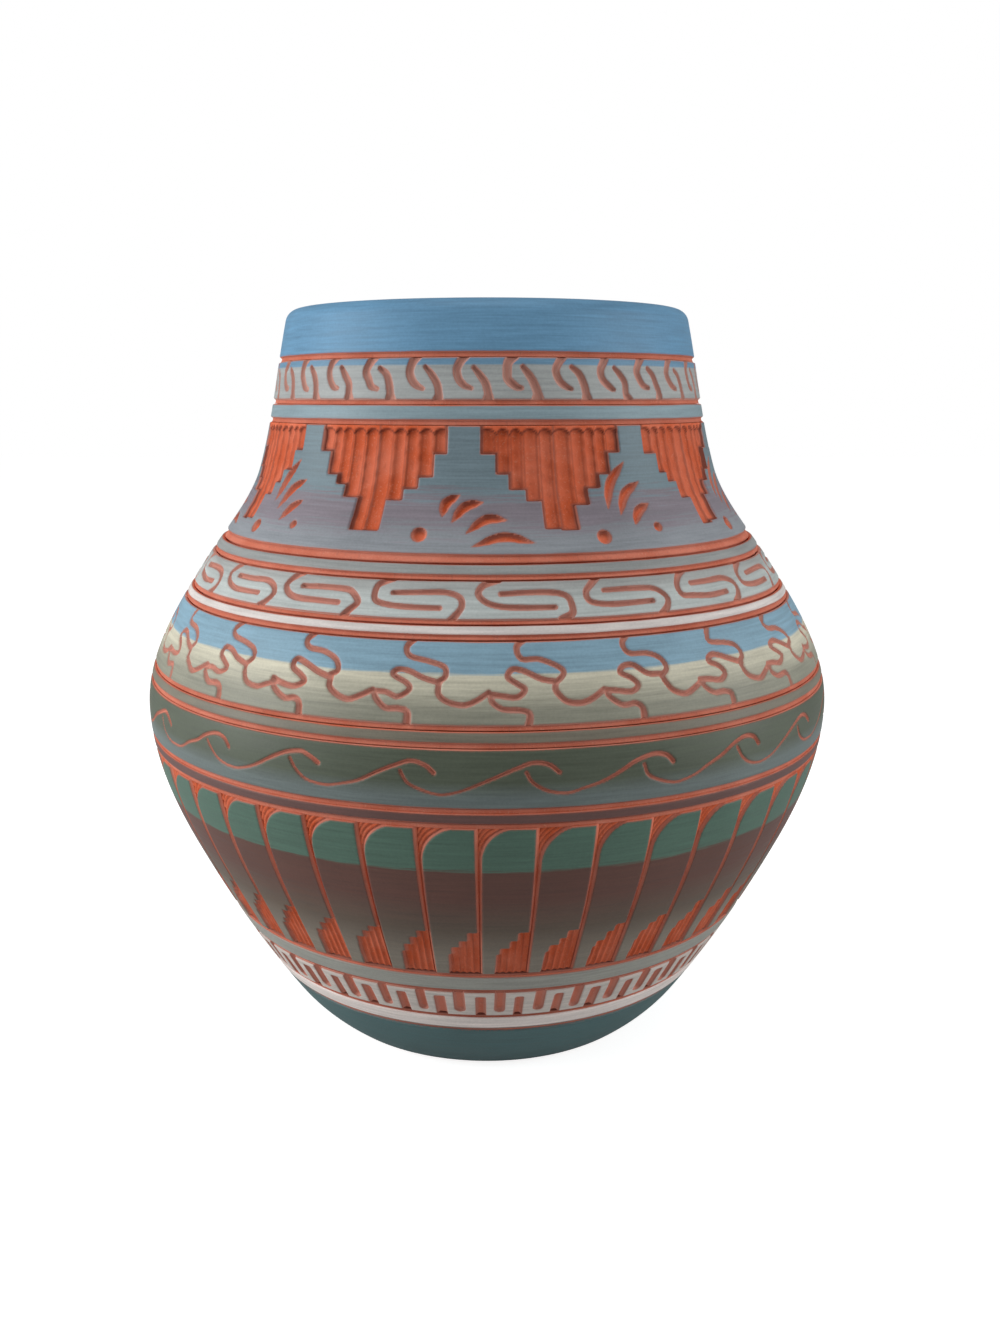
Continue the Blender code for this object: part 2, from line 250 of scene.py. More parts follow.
RAMPS.update((node, ((0.0, colour), (1.0, colour))) for node, colour in PLAIN_PAINTS.items())

# How far brush streaks carry one colour of a coat into the next, as a share of its height
MIXING = {"step_band": 0.11, "meander_band": 0.02, "feather": 0.016}
SLIGHT_MIXING = 0.012

# Shares of paint dust on the bare strokes of a coat, at their middle and at their edge
STROKE_DUST = {"hook_band": (0.58, 0.84), "step_band": (0.0, 0.42), "scroll_band": (0.38, 0.76),
               "meander_band": (0.24, 0.72), "wave_band": (0.14, 0.42), "key_band": (0.26, 0.58)}
SLIGHT_DUST = (0.0, 0.34)

# Shade on the upper side of a cut, and how far down it reaches
UPPER_SHADES = {"step_band": (0.95, 1.9 * MM), "feather": (0.25, 1.0 * MM)}
COMMON_UPPER_SHADE = (0.62, 1.0 * MM)

# The bare upper edge of a coat takes the light: how many times sooner it comes out of the shade of the cut
EDGE_LIGHT = 3.0

# Low on the jar the rings are finer: share of the bare edge, and shade of the ring above each coat
BARE_SHARES = {"grey_stripe": 0.5, "key_band": 0.4, "foot_stripe": 0.2, "foot_band": 0.0}
RING_SHADES = {"grey_stripe": 0.45, "key_band": 0.45, "foot_stripe": 0.50, "foot_band": 0.80}

# Bed of a ring in the clay, from its lower to its upper edge: place in half widths, share of the full cut
RING_BED = ((-1.0, 0.0), (-0.94, 0.62), (-0.5, 0.92), (0.0, 1.0), (0.5, 0.92), (0.94, 0.62), (1.0, 0.0))
RING_ROUNDING = 0.30 * MM
RING_UPPER_SHADE = 0.55
CLAY_FIRST_ROW = 2.0 * MM
CLAY_ROW = 1.5 * MM
CLAY_ROW_LEAST = 1.2 * MM

# Hooks that hang and rise: half widths in millimetres, then points in shares of a repeat and of the band
HOOK_STROKES = (
    ((1.10, 0.92, 0.90, 0.82, 0.48),
     ((0.02, 1.06), (-0.09, 0.88), (-0.15, 0.68), (-0.11, 0.47), (0.02, 0.32), (0.14, 0.26))),
    ((1.40, 0.88, 0.86, 0.80, 0.56),
     ((0.48, -0.06), (0.46, 0.14), (0.42, 0.38), (0.32, 0.60), (0.18, 0.76))),
)

# Scrolls: one hook hangs from the ring above, and one runs into the ring below
SCROLL_STROKES = (
    ((0.95, 0.70, 0.68, 0.68, 0.60),
     ((-0.09, 1.05), (-0.20, 0.88), (-0.25, 0.66), (-0.21, 0.44), (-0.07, 0.33), (0.16, 0.31),
      (0.40, 0.31))),
    ((0.60, 0.68, 0.68, 0.70, 0.95),
     ((-0.06, 0.67), (0.20, 0.69), (0.43, 0.68), (0.55, 0.57), (0.59, 0.36), (0.55, 0.14), (0.47, -0.05))),
)

# Winding lines: a drop from the ring above, a lobed line, its end in the ring below, and a swag to the next
MEANDER_STROKES = (
    ((0.85, 0.64, 0.62, 0.62, 0.62),
     ((0.13, 1.05), (0.04, 0.92), (0.08, 0.81), (0.26, 0.77), (0.40, 0.69), (0.44, 0.58), (0.37, 0.50))),
    ((0.62, 0.62, 0.60, 0.60, 0.60),
     ((0.37, 0.50), (0.24, 0.55), (0.10, 0.64), (0.00, 0.65), (-0.04, 0.57), (0.06, 0.48), (0.11, 0.40),
      (0.03, 0.33), (-0.10, 0.36), (-0.20, 0.37))),
    ((0.60, 0.62, 0.62, 0.64, 0.85),
     ((-0.20, 0.37), (-0.17, 0.27), (-0.07, 0.19), (0.05, 0.19), (0.11, 0.13), (0.12, -0.05))),
    ((0.60, 0.62, 0.62, 0.62, 0.58),
     ((0.37, 0.50), (0.38, 0.38), (0.46, 0.28), (0.58, 0.25), (0.70, 0.30), (0.80, 0.37))),
)

# Waves: each starts in a small hook, sinks to a trough, climbs to a crest and drops
WAVE_STROKES = (
    ((0.34, 0.30, 0.24, 0.36, 0.42, 0.48),
     ((0.0, 0.63), (0.06, 0.44), (0.18, 0.31), (0.34, 0.26), (0.49, 0.31), (0.64, 0.43), (0.80, 0.57),
      (0.95, 0.70), (1.09, 0.78), (1.21, 0.74), (1.285, 0.61))),
)

# Etched bands: strokes, number of repeats, angle of the first, seed of the hand and its unsteadiness
STROKE_BANDS = {
    "hook_band": (HOOK_STROKES, 31, math.radians(-5.2), 11, 0.014),
    "scroll_band": (SCROLL_STROKES, 20, math.radians(3.4), 23, 0.012),
    "meander_band": (MEANDER_STROKES, 22, math.radians(3.5), 37, 0.010),
    "wave_band": (WAVE_STROKES, 22, math.radians(-11.4), 41, 0.009),
}
STROKE_REACH = 1.7

# Terraces of the step band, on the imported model's: half width in degrees and fall to each level
TERRACE_COUNT = 9
TERRACE_FIRST = math.radians(15.0)
TERRACE_REACH = math.radians(19.0)
TERRACE_LEVELS = ((16.5, 5.7 * MM), (13.0, 10.3 * MM), (10.2, 12.7 * MM), (7.2, 15.7 * MM), (3.7, 21.2 * MM))
TERRACE_FALL_DRIFT = 0.30 * MM
TERRACE_SIDE_DRIFT = 0.25
TERRACE_OVERLAP = 0.5 * MM
TERRACE_ROLL = 0.28 * MM
STEP_CORNER = 0.30 * MM
STEP_SEED = 67

# Flutes of a terrace: scalloped heads below the ring, a short ramp into the gouge, and the tool's chatter
FLUTE_HEAD = 0.45 * MM
FLUTE_RAMP = 0.60 * MM
HEAD_DEPTH_SHARE = 0.45
SCALLOP = 1.5 * MM
SCALLOP_ROUNDING = 0.96
CHATTER = 0.07 * MM
CHATTER_PITCH = 0.55 * MM
CHATTER_SHIFT = 2.4
CHATTER_BEND = 0.8
CHATTER_SWAY = 2.1 * MM

# Shades in a terrace: all of it, beside the ridges, in the heads, and by the walls within some millimetres
TERRACE_SHADE = 0.13
RIDGE_SHADE = 0.40
RIDGE_PLACE = 0.78
RIDGE_WIDTH = 0.13
HEAD_SHADE = 3.2
WALL_SHADE = 0.92
WALL_SHADE_SPAN = (-0.95, -0.35)

# Fans between the terraces, in degrees and millimetres above the foot: crescents, and dots with a radius
LYING_FAN = (
    ((-4.4, 7.6), (-3.2, 10.4), (-0.5, 12.0)),
    ((-2.1, 6.5), (0.5, 9.6), (4.3, 10.6)),
    ((1.2, 4.4), (5.0, 7.0), (9.6, 7.2)),
    ((2.4, 1.7), (8.8, 3.7), (15.2, 2.4)),
)
LYING_DOTS = ((-8.1, 4.0, 1.75),)
STANDING_FAN = (
    ((-9.4, 9.0), (-7.0, 14.0), (-2.9, 17.8)),
    ((-7.0, 7.6), (-4.2, 11.6), (0.4, 14.0)),
    ((-4.2, 5.4), (-1.9, 8.0), (1.4, 9.6)),
)
STANDING_DOTS = ((-11.9, 3.2, 1.75), (1.6, 4.6, 1.1))
CRESCENT_WIDTHS = (0.12, 0.94, 1.18, 0.94, 0.12)
CRESCENT_STEPS = 8
FAN_REACH = math.radians(24.0)
FAN_WALL_LEAN = math.radians(28.0)
FAN_DRIFT = 0.12
FAN_ROLL = 0.75 * MM

# Feathers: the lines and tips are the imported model's, and the patches at the feet a little larger than there
FEATHER_FIRST = math.radians(-1.2)
FEATHER_CELL = 0.34 * MM
FEATHER_GAP = 0.00002
FEATHER_SEED = 700
FEATHER_EDGE_SEED = 300
FEATHER_LINE = 0.78 * MM
FEATHER_LINE_FOOT = 0.44 * MM
FEATHER_LINE_TAPER = 1.5
FEATHER_LINE_DEPTH = 0.7

# Hatched corner beside a feather's tip: ridges that follow the tip, with a slight sway
TIP_WIDTH = 7.0 * MM
TIP_HEIGHT = 7.8 * MM
TIP_ROLL = 0.35 * MM
HATCH_PITCH = 0.95 * MM
HATCH_SWAY = 0.12 * MM
HATCH_SWAY_PITCH = 0.8 * MM
HATCH_FLOOR = 0.40 * MM
HATCH_DEPTH = 0.42 * MM
HATCH_SHADE = 0.50
HATCH_SHARPNESS = 6

# Fluted patch at a feather's foot: width and height of each step
PATCH_LEVELS = ((6.6 * MM, 7.0 * MM), (6.0 * MM, 9.4 * MM), (4.4 * MM, 11.6 * MM), (2.7 * MM, 13.8 * MM))
PATCH_WIDTH_SPREAD = (0.95, 1.05)
PATCH_HEIGHT_SPREAD = (0.96, 1.04)
PATCH_ROLL = 0.30 * MM
PATCH_FLUTE = 1.45 * MM
PATCH_FLOOR = 0.45 * MM
PATCH_FLUTE_DEPTH = 0.38 * MM
PATCH_SHADE = 0.14
PATCH_RIDGE_SHADE = 0.40

# Key fret: slots hang and rise by turns, the hanging ones with rounder ends
KEY_COUNT = 45
KEY_FIRST = math.radians(2.6)
KEY_REACH = 0.6
KEY_DRIFT = 0.012
KEY_HALF = 1.15 * MM
KEY_HALF_SPREAD = (0.86, 1.14)
KEY_LEDGE = 1.4 * MM
KEY_LEDGE_DRIFT = 0.15 * MM
KEY_OVERRUN = 2.0 * MM
KEY_HANGING_END = 0.95
KEY_STANDING_END = 0.45
KEY_ROLL = 1.3
KEY_SEED = 53

# Clay at the foot's edge: distance in from the foot's radius, and height
FOOT_RISE = 0.9 * MM
FOOT_EDGE = ((1.3 * MM, 0.0), (0.75 * MM, 0.06 * MM), (0.25 * MM, 0.4 * MM))
AXIS_HOLE = 0.02 * MM
BASE_RINGS = (AXIS_HOLE, 6.0 * MM, 14.0 * MM, 22.0 * MM, 30.0 * MM)

# Lip and hollow: the clay rises past the coat's end, and the hollow shows faint throwing rings
LIP_GAP = 0.02
BARE_LIP_DEPTH = 0.25 * MM
COLLAR_GAP = 0.5 * MM
LIP_COVERED_ROWS = 14
LIP_BARE_ROWS = 10
HOLLOW_ROWS = 80
FILLET_ROWS = 8
THROWING_DEPTH = 0.12 * MM
THROWING_PITCH = 1.1 * MM
THROWING_START = 8.0 * MM
FLOOR_INSET = 2.0 * MM
FLOOR_BULGE = 0.18
FLOOR_RINGS = (0.8, 0.55, 0.3)

# Noises of clay, coats and floor: scale, detail and roughness, and how many times finer some are up the jar
CLAY_PATCHES = (130.0, 3.0, 0.5)
CLAY_GRAIN = (2600.0, 2.0, 0.6)
CLAY_SCRATCHES = (1500.0, 2.0, 0.5)
SCRATCH_STRETCH = 0.22
CLAY_BANDS = (40.0, 3.0, 0.5)
BAND_STRETCH = 14.0
COAT_STREAKS = (62.0, 4.0, 0.62)
STREAK_STRETCH = 26.0
COAT_CLOUD = (55.0, 3.0, 0.5)
COAT_SPECKLE = (1900.0, 2.0, 0.6)
FLOOR_CLOUD = (8.0, 2.0, 0.5)

# Spans of the shading of clay and floor: two values of a noise, and the shares that they give
BURNT_SPAN = (0.36, 0.64, 0.0, 1.0)
GRAIN_DUST_SPAN = (0.56, 0.80, 0.0, 0.55)
SCRATCH_SPAN = (0.58, 0.78, 0.0, 0.26)
CLAY_ROUGH_SPAN = (0.3, 0.7, 0.74, 0.92)
SCRATCH_RELIEF = 0.8
CLAY_BUMP = (0.4, 0.15 * MM)
CLAY_SPECULAR = 0.25
BAND_LIGHT_SPAN = (0.25, 0.75, 0.86, 1.12)
BAND_DUST_SPAN = (0.3, 0.7, 0.14, 0.26)
FOOT_DUST = 0.45
FOOT_DUST_START = 0.5 * MM
FLOOR_TONE_SPAN = (0.3, 0.7, 0.60, 0.62)

# Spans of the coats' shading: two values of a noise or of the cut, and the shares that they give
CUT_SHADE_SPAN = (-0.32, -0.05, 0.0, 0.48)
STREAK_LIGHT_SPAN = (0.25, 0.75, 0.80, 1.18)
CLOUD_LIGHT_SPAN = (0.3, 0.7, -0.07, 0.07)
SPECKLE_LIGHT_SPAN = (0.3, 0.7, -0.05, 0.05)
WEAR_SPAN = (0.0, 0.35, 0.42, 0.0)
WEAR_SPECKLE_SPAN = (0.35, 0.65, 0.0, 1.0)
DUST_DEPTHS = (-0.80, -0.05)
RAGGED_SPAN = (0.2, 0.8, -0.05, 0.05)
PAINT_EDGE_SPAN = (-0.04, 0.04, 0.0, 1.0)
COAT_ROUGH_SPAN = (0.3, 0.7, 0.46, 0.62)
STREAK_RANGE = (0.3, 0.7)
STREAK_RELIEF = 0.5
COAT_BUMP = (0.35, 0.12 * MM)
COAT_SPECULAR = 0.30


def outline(height):
    """Radius and slope of the coated outline at an array of heights, on cubics between the knots."""
    lows = np.array([knot[0] for knot in KNOTS])
    radii = np.array([knot[1] for knot in KNOTS])
    slopes = np.tan(np.radians([knot[2] for knot in KNOTS]))
    span = np.clip(np.searchsorted(lows, height, side="right") - 1, 0, len(KNOTS) - 2)
    width = lows[span + 1] - lows[span]
    t = (height - lows[span]) / width
    radius = (2 * t**3 - 3 * t**2 + 1) * radii[span] + (3 * t**2 - 2 * t**3) * radii[span + 1]
    radius += width * ((t**3 - 2 * t**2 + t) * slopes[span] + (t**3 - t**2) * slopes[span + 1])
    slope = (6 * t**2 - 6 * t) * (radii[span] - radii[span + 1]) / width
    slope += (3 * t**2 - 4 * t + 1) * slopes[span] + (3 * t**2 - 2 * t) * slopes[span + 1]
    return radius, slope


def sunk(height, depth):
    """Radius at a height of the surface that lies depth below the coat's face."""
    radius, slope = outline(height)
    return radius - depth * np.hypot(1.0, slope)


def lip_centre():
    """Middle of the rounded lip, and the angle at which the outside wall runs into it."""
    height = JAR_HEIGHT - LIP_RADIUS
    tilt = -math.atan(float(outline(np.array([height]))[1][0]))
    tangent = height + LIP_RADIUS * math.sin(tilt)
    radius = float(outline(np.array([tangent]))[0][0]) - LIP_RADIUS * math.cos(tilt)
    return radius, height, tilt, tangent


def wrapped(angle):
    """Angle brought to within half a turn of zero."""
    return (angle + math.pi) % FULL_TURN - math.pi


class Wall:
    """A line up the coat's face: radius, height, outward normal and arc length of each row."""

    def __init__(self, radius, height):
        self.radius = radius
        self.height = height
        across = np.gradient(radius)
        up = np.gradient(height)
        run = np.hypot(across, up)
        self.out_radius = up / run
        self.out_height = -across / run
        steps = np.hypot(np.diff(radius), np.diff(height))
        self.arc = np.concatenate(([0.0], np.cumsum(steps)))

    def rows(self, wanted):
        """The same line at the wanted arc lengths."""
        chosen = Wall(np.interp(wanted, self.arc, self.radius), np.interp(wanted, self.arc, self.height))
        chosen.out_radius = np.interp(wanted, self.arc, self.out_radius)
        chosen.out_height = np.interp(wanted, self.arc, self.out_height)
        chosen.arc = wanted
        return chosen


def coat_wall(node):
    """The face line of a coat, finely stepped, between the heights that its node has in the frame."""
    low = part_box(node)[0][2]
    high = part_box(node)[1][2]
    if node != "rim_band":
        height = np.linspace(low, high, WALL_STEPS)
        return Wall(outline(height)[0], height)
    radius, middle, tilt, tangent = lip_centre()
    height = np.linspace(low, tangent, WALL_STEPS)
    turn = np.linspace(tilt, math.pi / 2.0 + LIP_WRAP, LIP_STEPS)[1:]
    path = np.concatenate((outline(height)[0], radius + LIP_RADIUS * np.cos(turn)))
    return Wall(path, np.concatenate((height, middle + LIP_RADIUS * np.sin(turn))))


def coat_rows(wall, cell):
    """Arc lengths of a coat's rows: close at both edges, even between them."""
    total = wall.arc[-1]
    edge = np.array(EDGE_ROWS)
    count = max(2, math.ceil((total - 2.0 * edge[-1]) / cell))
    middle = np.linspace(edge[-1], total - edge[-1], count + 1)[1:-1]
    return np.concatenate((edge, middle, total - edge[::-1]))


class Sheet:
    """The grid of a coat's face: angles along it, and rows up the wall."""

    def __init__(self, node, angle, cell):
        self.node = node
        full = coat_wall(node)
        self.wall = full.rows(coat_rows(full, cell))
        self.angle = angle
        self.arc = self.wall.arc[:, None]
        self.length = self.wall.arc[-1]
        self.radius = self.wall.radius[:, None]
        self.mean_radius = float(self.wall.radius.mean())

    def blank(self):
        """Values of a face without any cut."""
        return np.full((len(self.wall.arc), len(self.angle)), FAR)

    def near(self, centre, reach):
        """Columns within reach of an angle, and their angles from it."""
        offset = wrapped(self.angle - centre)
        columns = np.flatnonzero(np.abs(offset) < reach)
        return columns, offset[columns]


def kind_of(node):
    """The name under which a coat's looks are kept: one for all feathers."""
    return "feather" if node in FEATHERS else node


def ring_angles(columns):
    """Even angles all the way round."""
    return np.arange(columns) * FULL_TURN / columns


def wobble(angle, size, seed):
    """Slow unsteady drift round the jar, as a hand leaves it."""
    spread = np.random.default_rng(seed)
    drift = np.zeros_like(angle)
    for wave in EDGE_WAVES:
        drift += np.sin(wave * angle + spread.uniform(0.0, FULL_TURN)) / math.sqrt(wave)
    return size * drift


def curve_through(points, steps=6):
    """Smooth path through given points."""
    points = np.asarray(points, dtype=float)
    padded = np.vstack((2 * points[0] - points[1], points, 2 * points[-1] - points[-2]))
    t = np.linspace(0.0, 1.0, steps, endpoint=False)[:, None]
    path = []
    for before, start, end, after in zip(padded, padded[1:], padded[2:], padded[3:]):
        bend = (2 * start + (end - before) * t + (2 * before - 5 * start + 4 * end - after) * t**2
                + (3 * start - before - 3 * end + after) * t**3)
        path.append(bend / 2.0)
    path.append(points[-1:])
    return np.vstack(path)


def stroke_cut(across, up, path, half_widths):
    """Signed distance from a grid to the outline of a stroke whose width changes along its path."""
    best = np.full(np.broadcast(across, up).shape, FAR)
    share = np.linspace(0.0, 1.0, len(path))
    halves = np.interp(share, np.linspace(0.0, 1.0, len(half_widths)), half_widths)
    for index in range(len(path) - 1):
        start = path[index]
        run = path[index + 1] - start
        along = ((across - start[0]) * run[0] + (up - start[1]) * run[1]) / max(run @ run, TINY)
        along = np.clip(along, 0.0, 1.0)
        gap = np.hypot(across - start[0] - along * run[0], up - start[1] - along * run[1])
        best = np.minimum(best, gap - halves[index] - along * (halves[index + 1] - halves[index]))
    return best


def box_cut(across, up, left, right, low, high, corner):
    """Signed distance to a box with rounded corners."""
    out_x = np.abs(across - (left + right) / 2.0) - (right - left) / 2.0 + corner
    out_y = np.abs(up - (low + high) / 2.0) - (high - low) / 2.0 + corner
    outside = np.hypot(np.maximum(out_x, 0.0), np.maximum(out_y, 0.0))
    return outside + np.minimum(np.maximum(out_x, out_y), 0.0) - corner


def draw_strokes(sheet, strokes, count, first, seed, unsteady):
    """Etch a set of strokes round a band, each repeat a little different by hand."""
    cut = sheet.blank()
    pitch = FULL_TURN / count
    hand = np.random.default_rng(seed)
    scale = np.array([pitch * sheet.mean_radius, sheet.length])
    for repeat in range(count):
        centre = first + repeat * pitch + hand.normal(0.0, unsteady) * pitch
        columns, offset = sheet.near(centre, STROKE_REACH * pitch)
        across = (offset * sheet.mean_radius)[None, :]
        for half_widths, points in strokes:
            shaken = np.array(points) + hand.normal(0.0, unsteady, (len(points), 2))
            widths = np.array(half_widths) * MM * hand.uniform(*HAND_SPREAD)
            drawn = stroke_cut(across, sheet.arc, curve_through(shaken) * scale, widths)
            cut[:, columns] = np.minimum(cut[:, columns], drawn)
    return cut


def groove(cut, depth, roll):
    """Depth of a rounded gouge from the signed distance to its edge."""
    return depth * np.sin(math.pi / 2.0 * np.clip(-cut / roll, 0.0, 1.0))


def gouges(position, edges):
    """Share across the gouge that a position falls in, from -1 to 1, and that gouge's number."""
    index = np.clip(np.searchsorted(edges, position, side="right") - 1, 0, len(edges) - 2)
    low = edges[index]
    share = np.clip(2.0 * (position - low) / (edges[index + 1] - low) - 1.0, -1.0, 1.0)
    return share[None, :], index[None, :]


def plain_field(sheet, carving):
    """A coat without carving of its own."""
    cut = sheet.blank()
    return cut, np.zeros_like(cut), np.zeros_like(cut)


def stroke_field(sheet, carving):
    """A band etched with repeated strokes of even depth."""
    cut = draw_strokes(sheet, *STROKE_BANDS[sheet.node])
    return cut, groove(cut, carving.line_depth, carving.line_roll), np.zeros_like(cut)


def key_field(sheet, carving):
    """Slots that hang from the ring above and rise from the ring below, by turns."""
    cut = sheet.blank()
    hand = np.random.default_rng(KEY_SEED)
    pitch = FULL_TURN / KEY_COUNT
    for repeat in range(2 * KEY_COUNT):
        centre = KEY_FIRST + (repeat / 2.0 + hand.normal(0.0, KEY_DRIFT)) * pitch
        columns, offset = sheet.near(centre, KEY_REACH * pitch)
        across = offset[None, :] * sheet.radius
        half = KEY_HALF * hand.uniform(*KEY_HALF_SPREAD)
        ledge = KEY_LEDGE + hand.normal(0.0, KEY_LEDGE_DRIFT)
        if repeat % 2 == 0:
            low, high, end = ledge, sheet.length + KEY_OVERRUN, KEY_HANGING_END
        else:
            low, high, end = -KEY_OVERRUN, sheet.length - ledge, KEY_STANDING_END
        slot = box_cut(across, sheet.arc, -half, half, low, high, end * half)
        cut[:, columns] = np.minimum(cut[:, columns], slot)
    return cut, groove(cut, carving.line_depth, KEY_ROLL * carving.line_roll), np.zeros_like(cut)


def fan_cut(sheet, centre, crescents, dots, hand):
    """Crescents and dots carved between two terraces."""
    columns, offset = sheet.near(centre, FAN_REACH)
    across = np.degrees(offset)[None, :]
    degree = math.radians(1.0)
    stretch = sheet.radius * degree
    cut = np.full((len(sheet.wall.arc), len(columns)), FAR)
    rise = MM / math.cos(FAN_WALL_LEAN)
    for crescent in crescents:
        points = np.array(crescent) * (1.0, rise) + hand.normal(0.0, FAN_DRIFT, (3, 2)) * (1.0, MM)
        path = curve_through(points, CRESCENT_STEPS) * (sheet.mean_radius * degree, 1.0)
        drawn = stroke_cut(across * stretch, sheet.arc, path, np.array(CRESCENT_WIDTHS) * MM)
        cut = np.minimum(cut, drawn)
    for angle, height, size in dots:
        gap = np.hypot((across - angle) * stretch, sheet.arc - height * rise)
        cut = np.minimum(cut, gap - size * MM * hand.uniform(*HAND_SPREAD))
    return columns, cut


def terrace_cut(sheet, across, hand):
    """Outline of one terrace, its two flanks stepped down by hand."""
    full = coat_wall(sheet.node)
    high = sheet.length + FAR
    recess = np.full(across.shape, FAR)
    for half, fall in TERRACE_LEVELS:
        for flank in (-1.0, 1.0):
            height = full.height[-1] - fall + hand.normal(0.0, TERRACE_FALL_DRIFT)
            low = np.interp(height, full.height, full.arc)
            side = math.radians(half + hand.normal(0.0, TERRACE_SIDE_DRIFT)) * sheet.radius
            level = box_cut(flank * across, sheet.arc, -TERRACE_OVERLAP, side, low, high, STEP_CORNER)
            recess = np.minimum(recess, level)
    return recess


def terrace_flutes(sheet, carving, offset, hand):
    """Depth and shade of a terrace's upright gouges, each with a scalloped head below the ring."""
    halves = np.array([half for half, _ in TERRACE_LEVELS])
    evenly = np.concatenate((-halves, [0.0], halves[::-1]))
    share, flute = gouges(np.degrees(offset), evenly + hand.normal(0.0, TERRACE_SIDE_DRIFT, len(evenly)))
    scallop = SCALLOP * (1.0 - np.sqrt(1.0 - SCALLOP_ROUNDING * share**2))
    begun = np.clip((sheet.length - FLUTE_HEAD - scallop - sheet.arc) / FLUTE_RAMP, 0.0, 1.0)
    sway = CHATTER_BEND * np.sin(sheet.arc / CHATTER_SWAY + flute)
    chatter = CHATTER * np.sin(sheet.arc / CHATTER_PITCH + CHATTER_SHIFT * flute + sway)
    gouge = (carving.flute_depth * (1.0 - share**2) + chatter) * begun
    depth = carving.terrace_depth * (HEAD_DEPTH_SHARE + (1.0 - HEAD_DEPTH_SHARE) * begun) + gouge
    beside = np.exp(-((np.abs(share) - RIDGE_PLACE) / RIDGE_WIDTH)**2)
    dark = begun * (TERRACE_SHADE + RIDGE_SHADE * beside) + HEAD_SHADE * begun * (1.0 - begun)
    return depth, dark


def step_field(sheet, carving):
    """Fluted terraces that step down from the ring above, with fans of crescents between them."""
    cut = sheet.blank()
    depth = np.zeros_like(cut)
    shade = np.zeros_like(cut)
    hand = np.random.default_rng(STEP_SEED)
    pitch = FULL_TURN / TERRACE_COUNT
    for terrace in range(TERRACE_COUNT):
        columns, offset = sheet.near(TERRACE_FIRST + terrace * pitch, TERRACE_REACH)
        recess = terrace_cut(sheet, offset[None, :] * sheet.radius, hand)
        floor, dark = terrace_flutes(sheet, carving, offset, hand)
        cut[:, columns] = np.minimum(cut[:, columns], recess)
        depth[:, columns] = np.maximum(depth[:, columns], groove(recess, 1.0, TERRACE_ROLL) * floor)
        dark = np.maximum(dark, np.interp(recess / MM, WALL_SHADE_SPAN, (0.0, WALL_SHADE)))
        shade[:, columns] = np.where(recess < 0.0, dark, shade[:, columns])
    for gap in range(TERRACE_COUNT):
        lies = gap % 2 == 0 and gap > 0
        crescents = LYING_FAN if lies else STANDING_FAN
        dots = LYING_DOTS if lies else STANDING_DOTS
        columns, fan = fan_cut(sheet, TERRACE_FIRST + (gap + 0.5) * pitch, crescents, dots, hand)
        cut[:, columns] = np.minimum(cut[:, columns], fan)
        depth[:, columns] = np.maximum(depth[:, columns], groove(fan, carving.line_depth, FAN_ROLL))
    return cut, depth, shade


def feather_tip(sheet, beyond_line, left, hand):
    """The hatched corner that rounds a feather's tip: cut, depth and shade."""
    below = sheet.length - sheet.arc
    high = TIP_HEIGHT * hand.uniform(*HAND_SPREAD)
    wide = TIP_WIDTH * hand.uniform(*HAND_SPREAD)
    reach = np.hypot(np.minimum((beyond_line - wide) / wide, 0.0), np.maximum((high - below) / high, 0.0))
    corner = (1.0 - reach) * 0.5 * (wide + high)
    swayed = corner + HATCH_SWAY * np.sin(left / HATCH_SWAY_PITCH)
    hatch = np.abs(np.sin(math.pi * swayed / HATCH_PITCH))
    depth = groove(corner, 1.0, TIP_ROLL) * (HATCH_FLOOR + HATCH_DEPTH * hatch)
    return corner, depth, np.where(corner < 0.0, HATCH_SHADE * hatch**HATCH_SHARPNESS, 0.0)


def feather_patch(sheet, right, hand):
    """The fluted, stepped patch at a feather's foot: cut, depth and shade."""
    patch = np.full_like(right, FAR)
    for width, height in PATCH_LEVELS:
        side = width * hand.uniform(*PATCH_WIDTH_SPREAD)
        top = height * hand.uniform(*PATCH_HEIGHT_SPREAD)
        patch = np.minimum(patch, box_cut(right, sheet.arc, -FAR, side, -FAR, top, STEP_CORNER))
    flute = 1.0 - (2.0 * np.mod(right / PATCH_FLUTE, 1.0) - 1.0)**2
    depth = groove(patch, 1.0, PATCH_ROLL) * (PATCH_FLOOR + PATCH_FLUTE_DEPTH * flute)
    return patch, depth, np.where(patch < 0.0, PATCH_SHADE + PATCH_RIDGE_SHADE * (1.0 - flute)**2, 0.0)


def feather_field(sheet, carving, hand):
    """One feather: half a line on each side, a hatched corner by its tip, a fluted patch at its foot."""
    left = (sheet.angle - sheet.angle[0])[None, :] * sheet.radius
    right = (sheet.angle[-1] - sheet.angle)[None, :] * sheet.radius
    widening = (sheet.arc / sheet.length)**FEATHER_LINE_TAPER
    line = FEATHER_LINE_FOOT + (FEATHER_LINE - FEATHER_LINE_FOOT) * widening
    lines = np.minimum(left, right) - line
    corner, corner_depth, corner_shade = feather_tip(sheet, left - line, left, hand)
    patch, patch_depth, patch_shade = feather_patch(sheet, right, hand)
    depth = groove(lines, FEATHER_LINE_DEPTH * carving.line_depth, carving.line_roll)
    depth = np.maximum(np.maximum(depth, corner_depth), patch_depth)
    return np.minimum(np.minimum(lines, corner), patch), depth, corner_shade + patch_shade


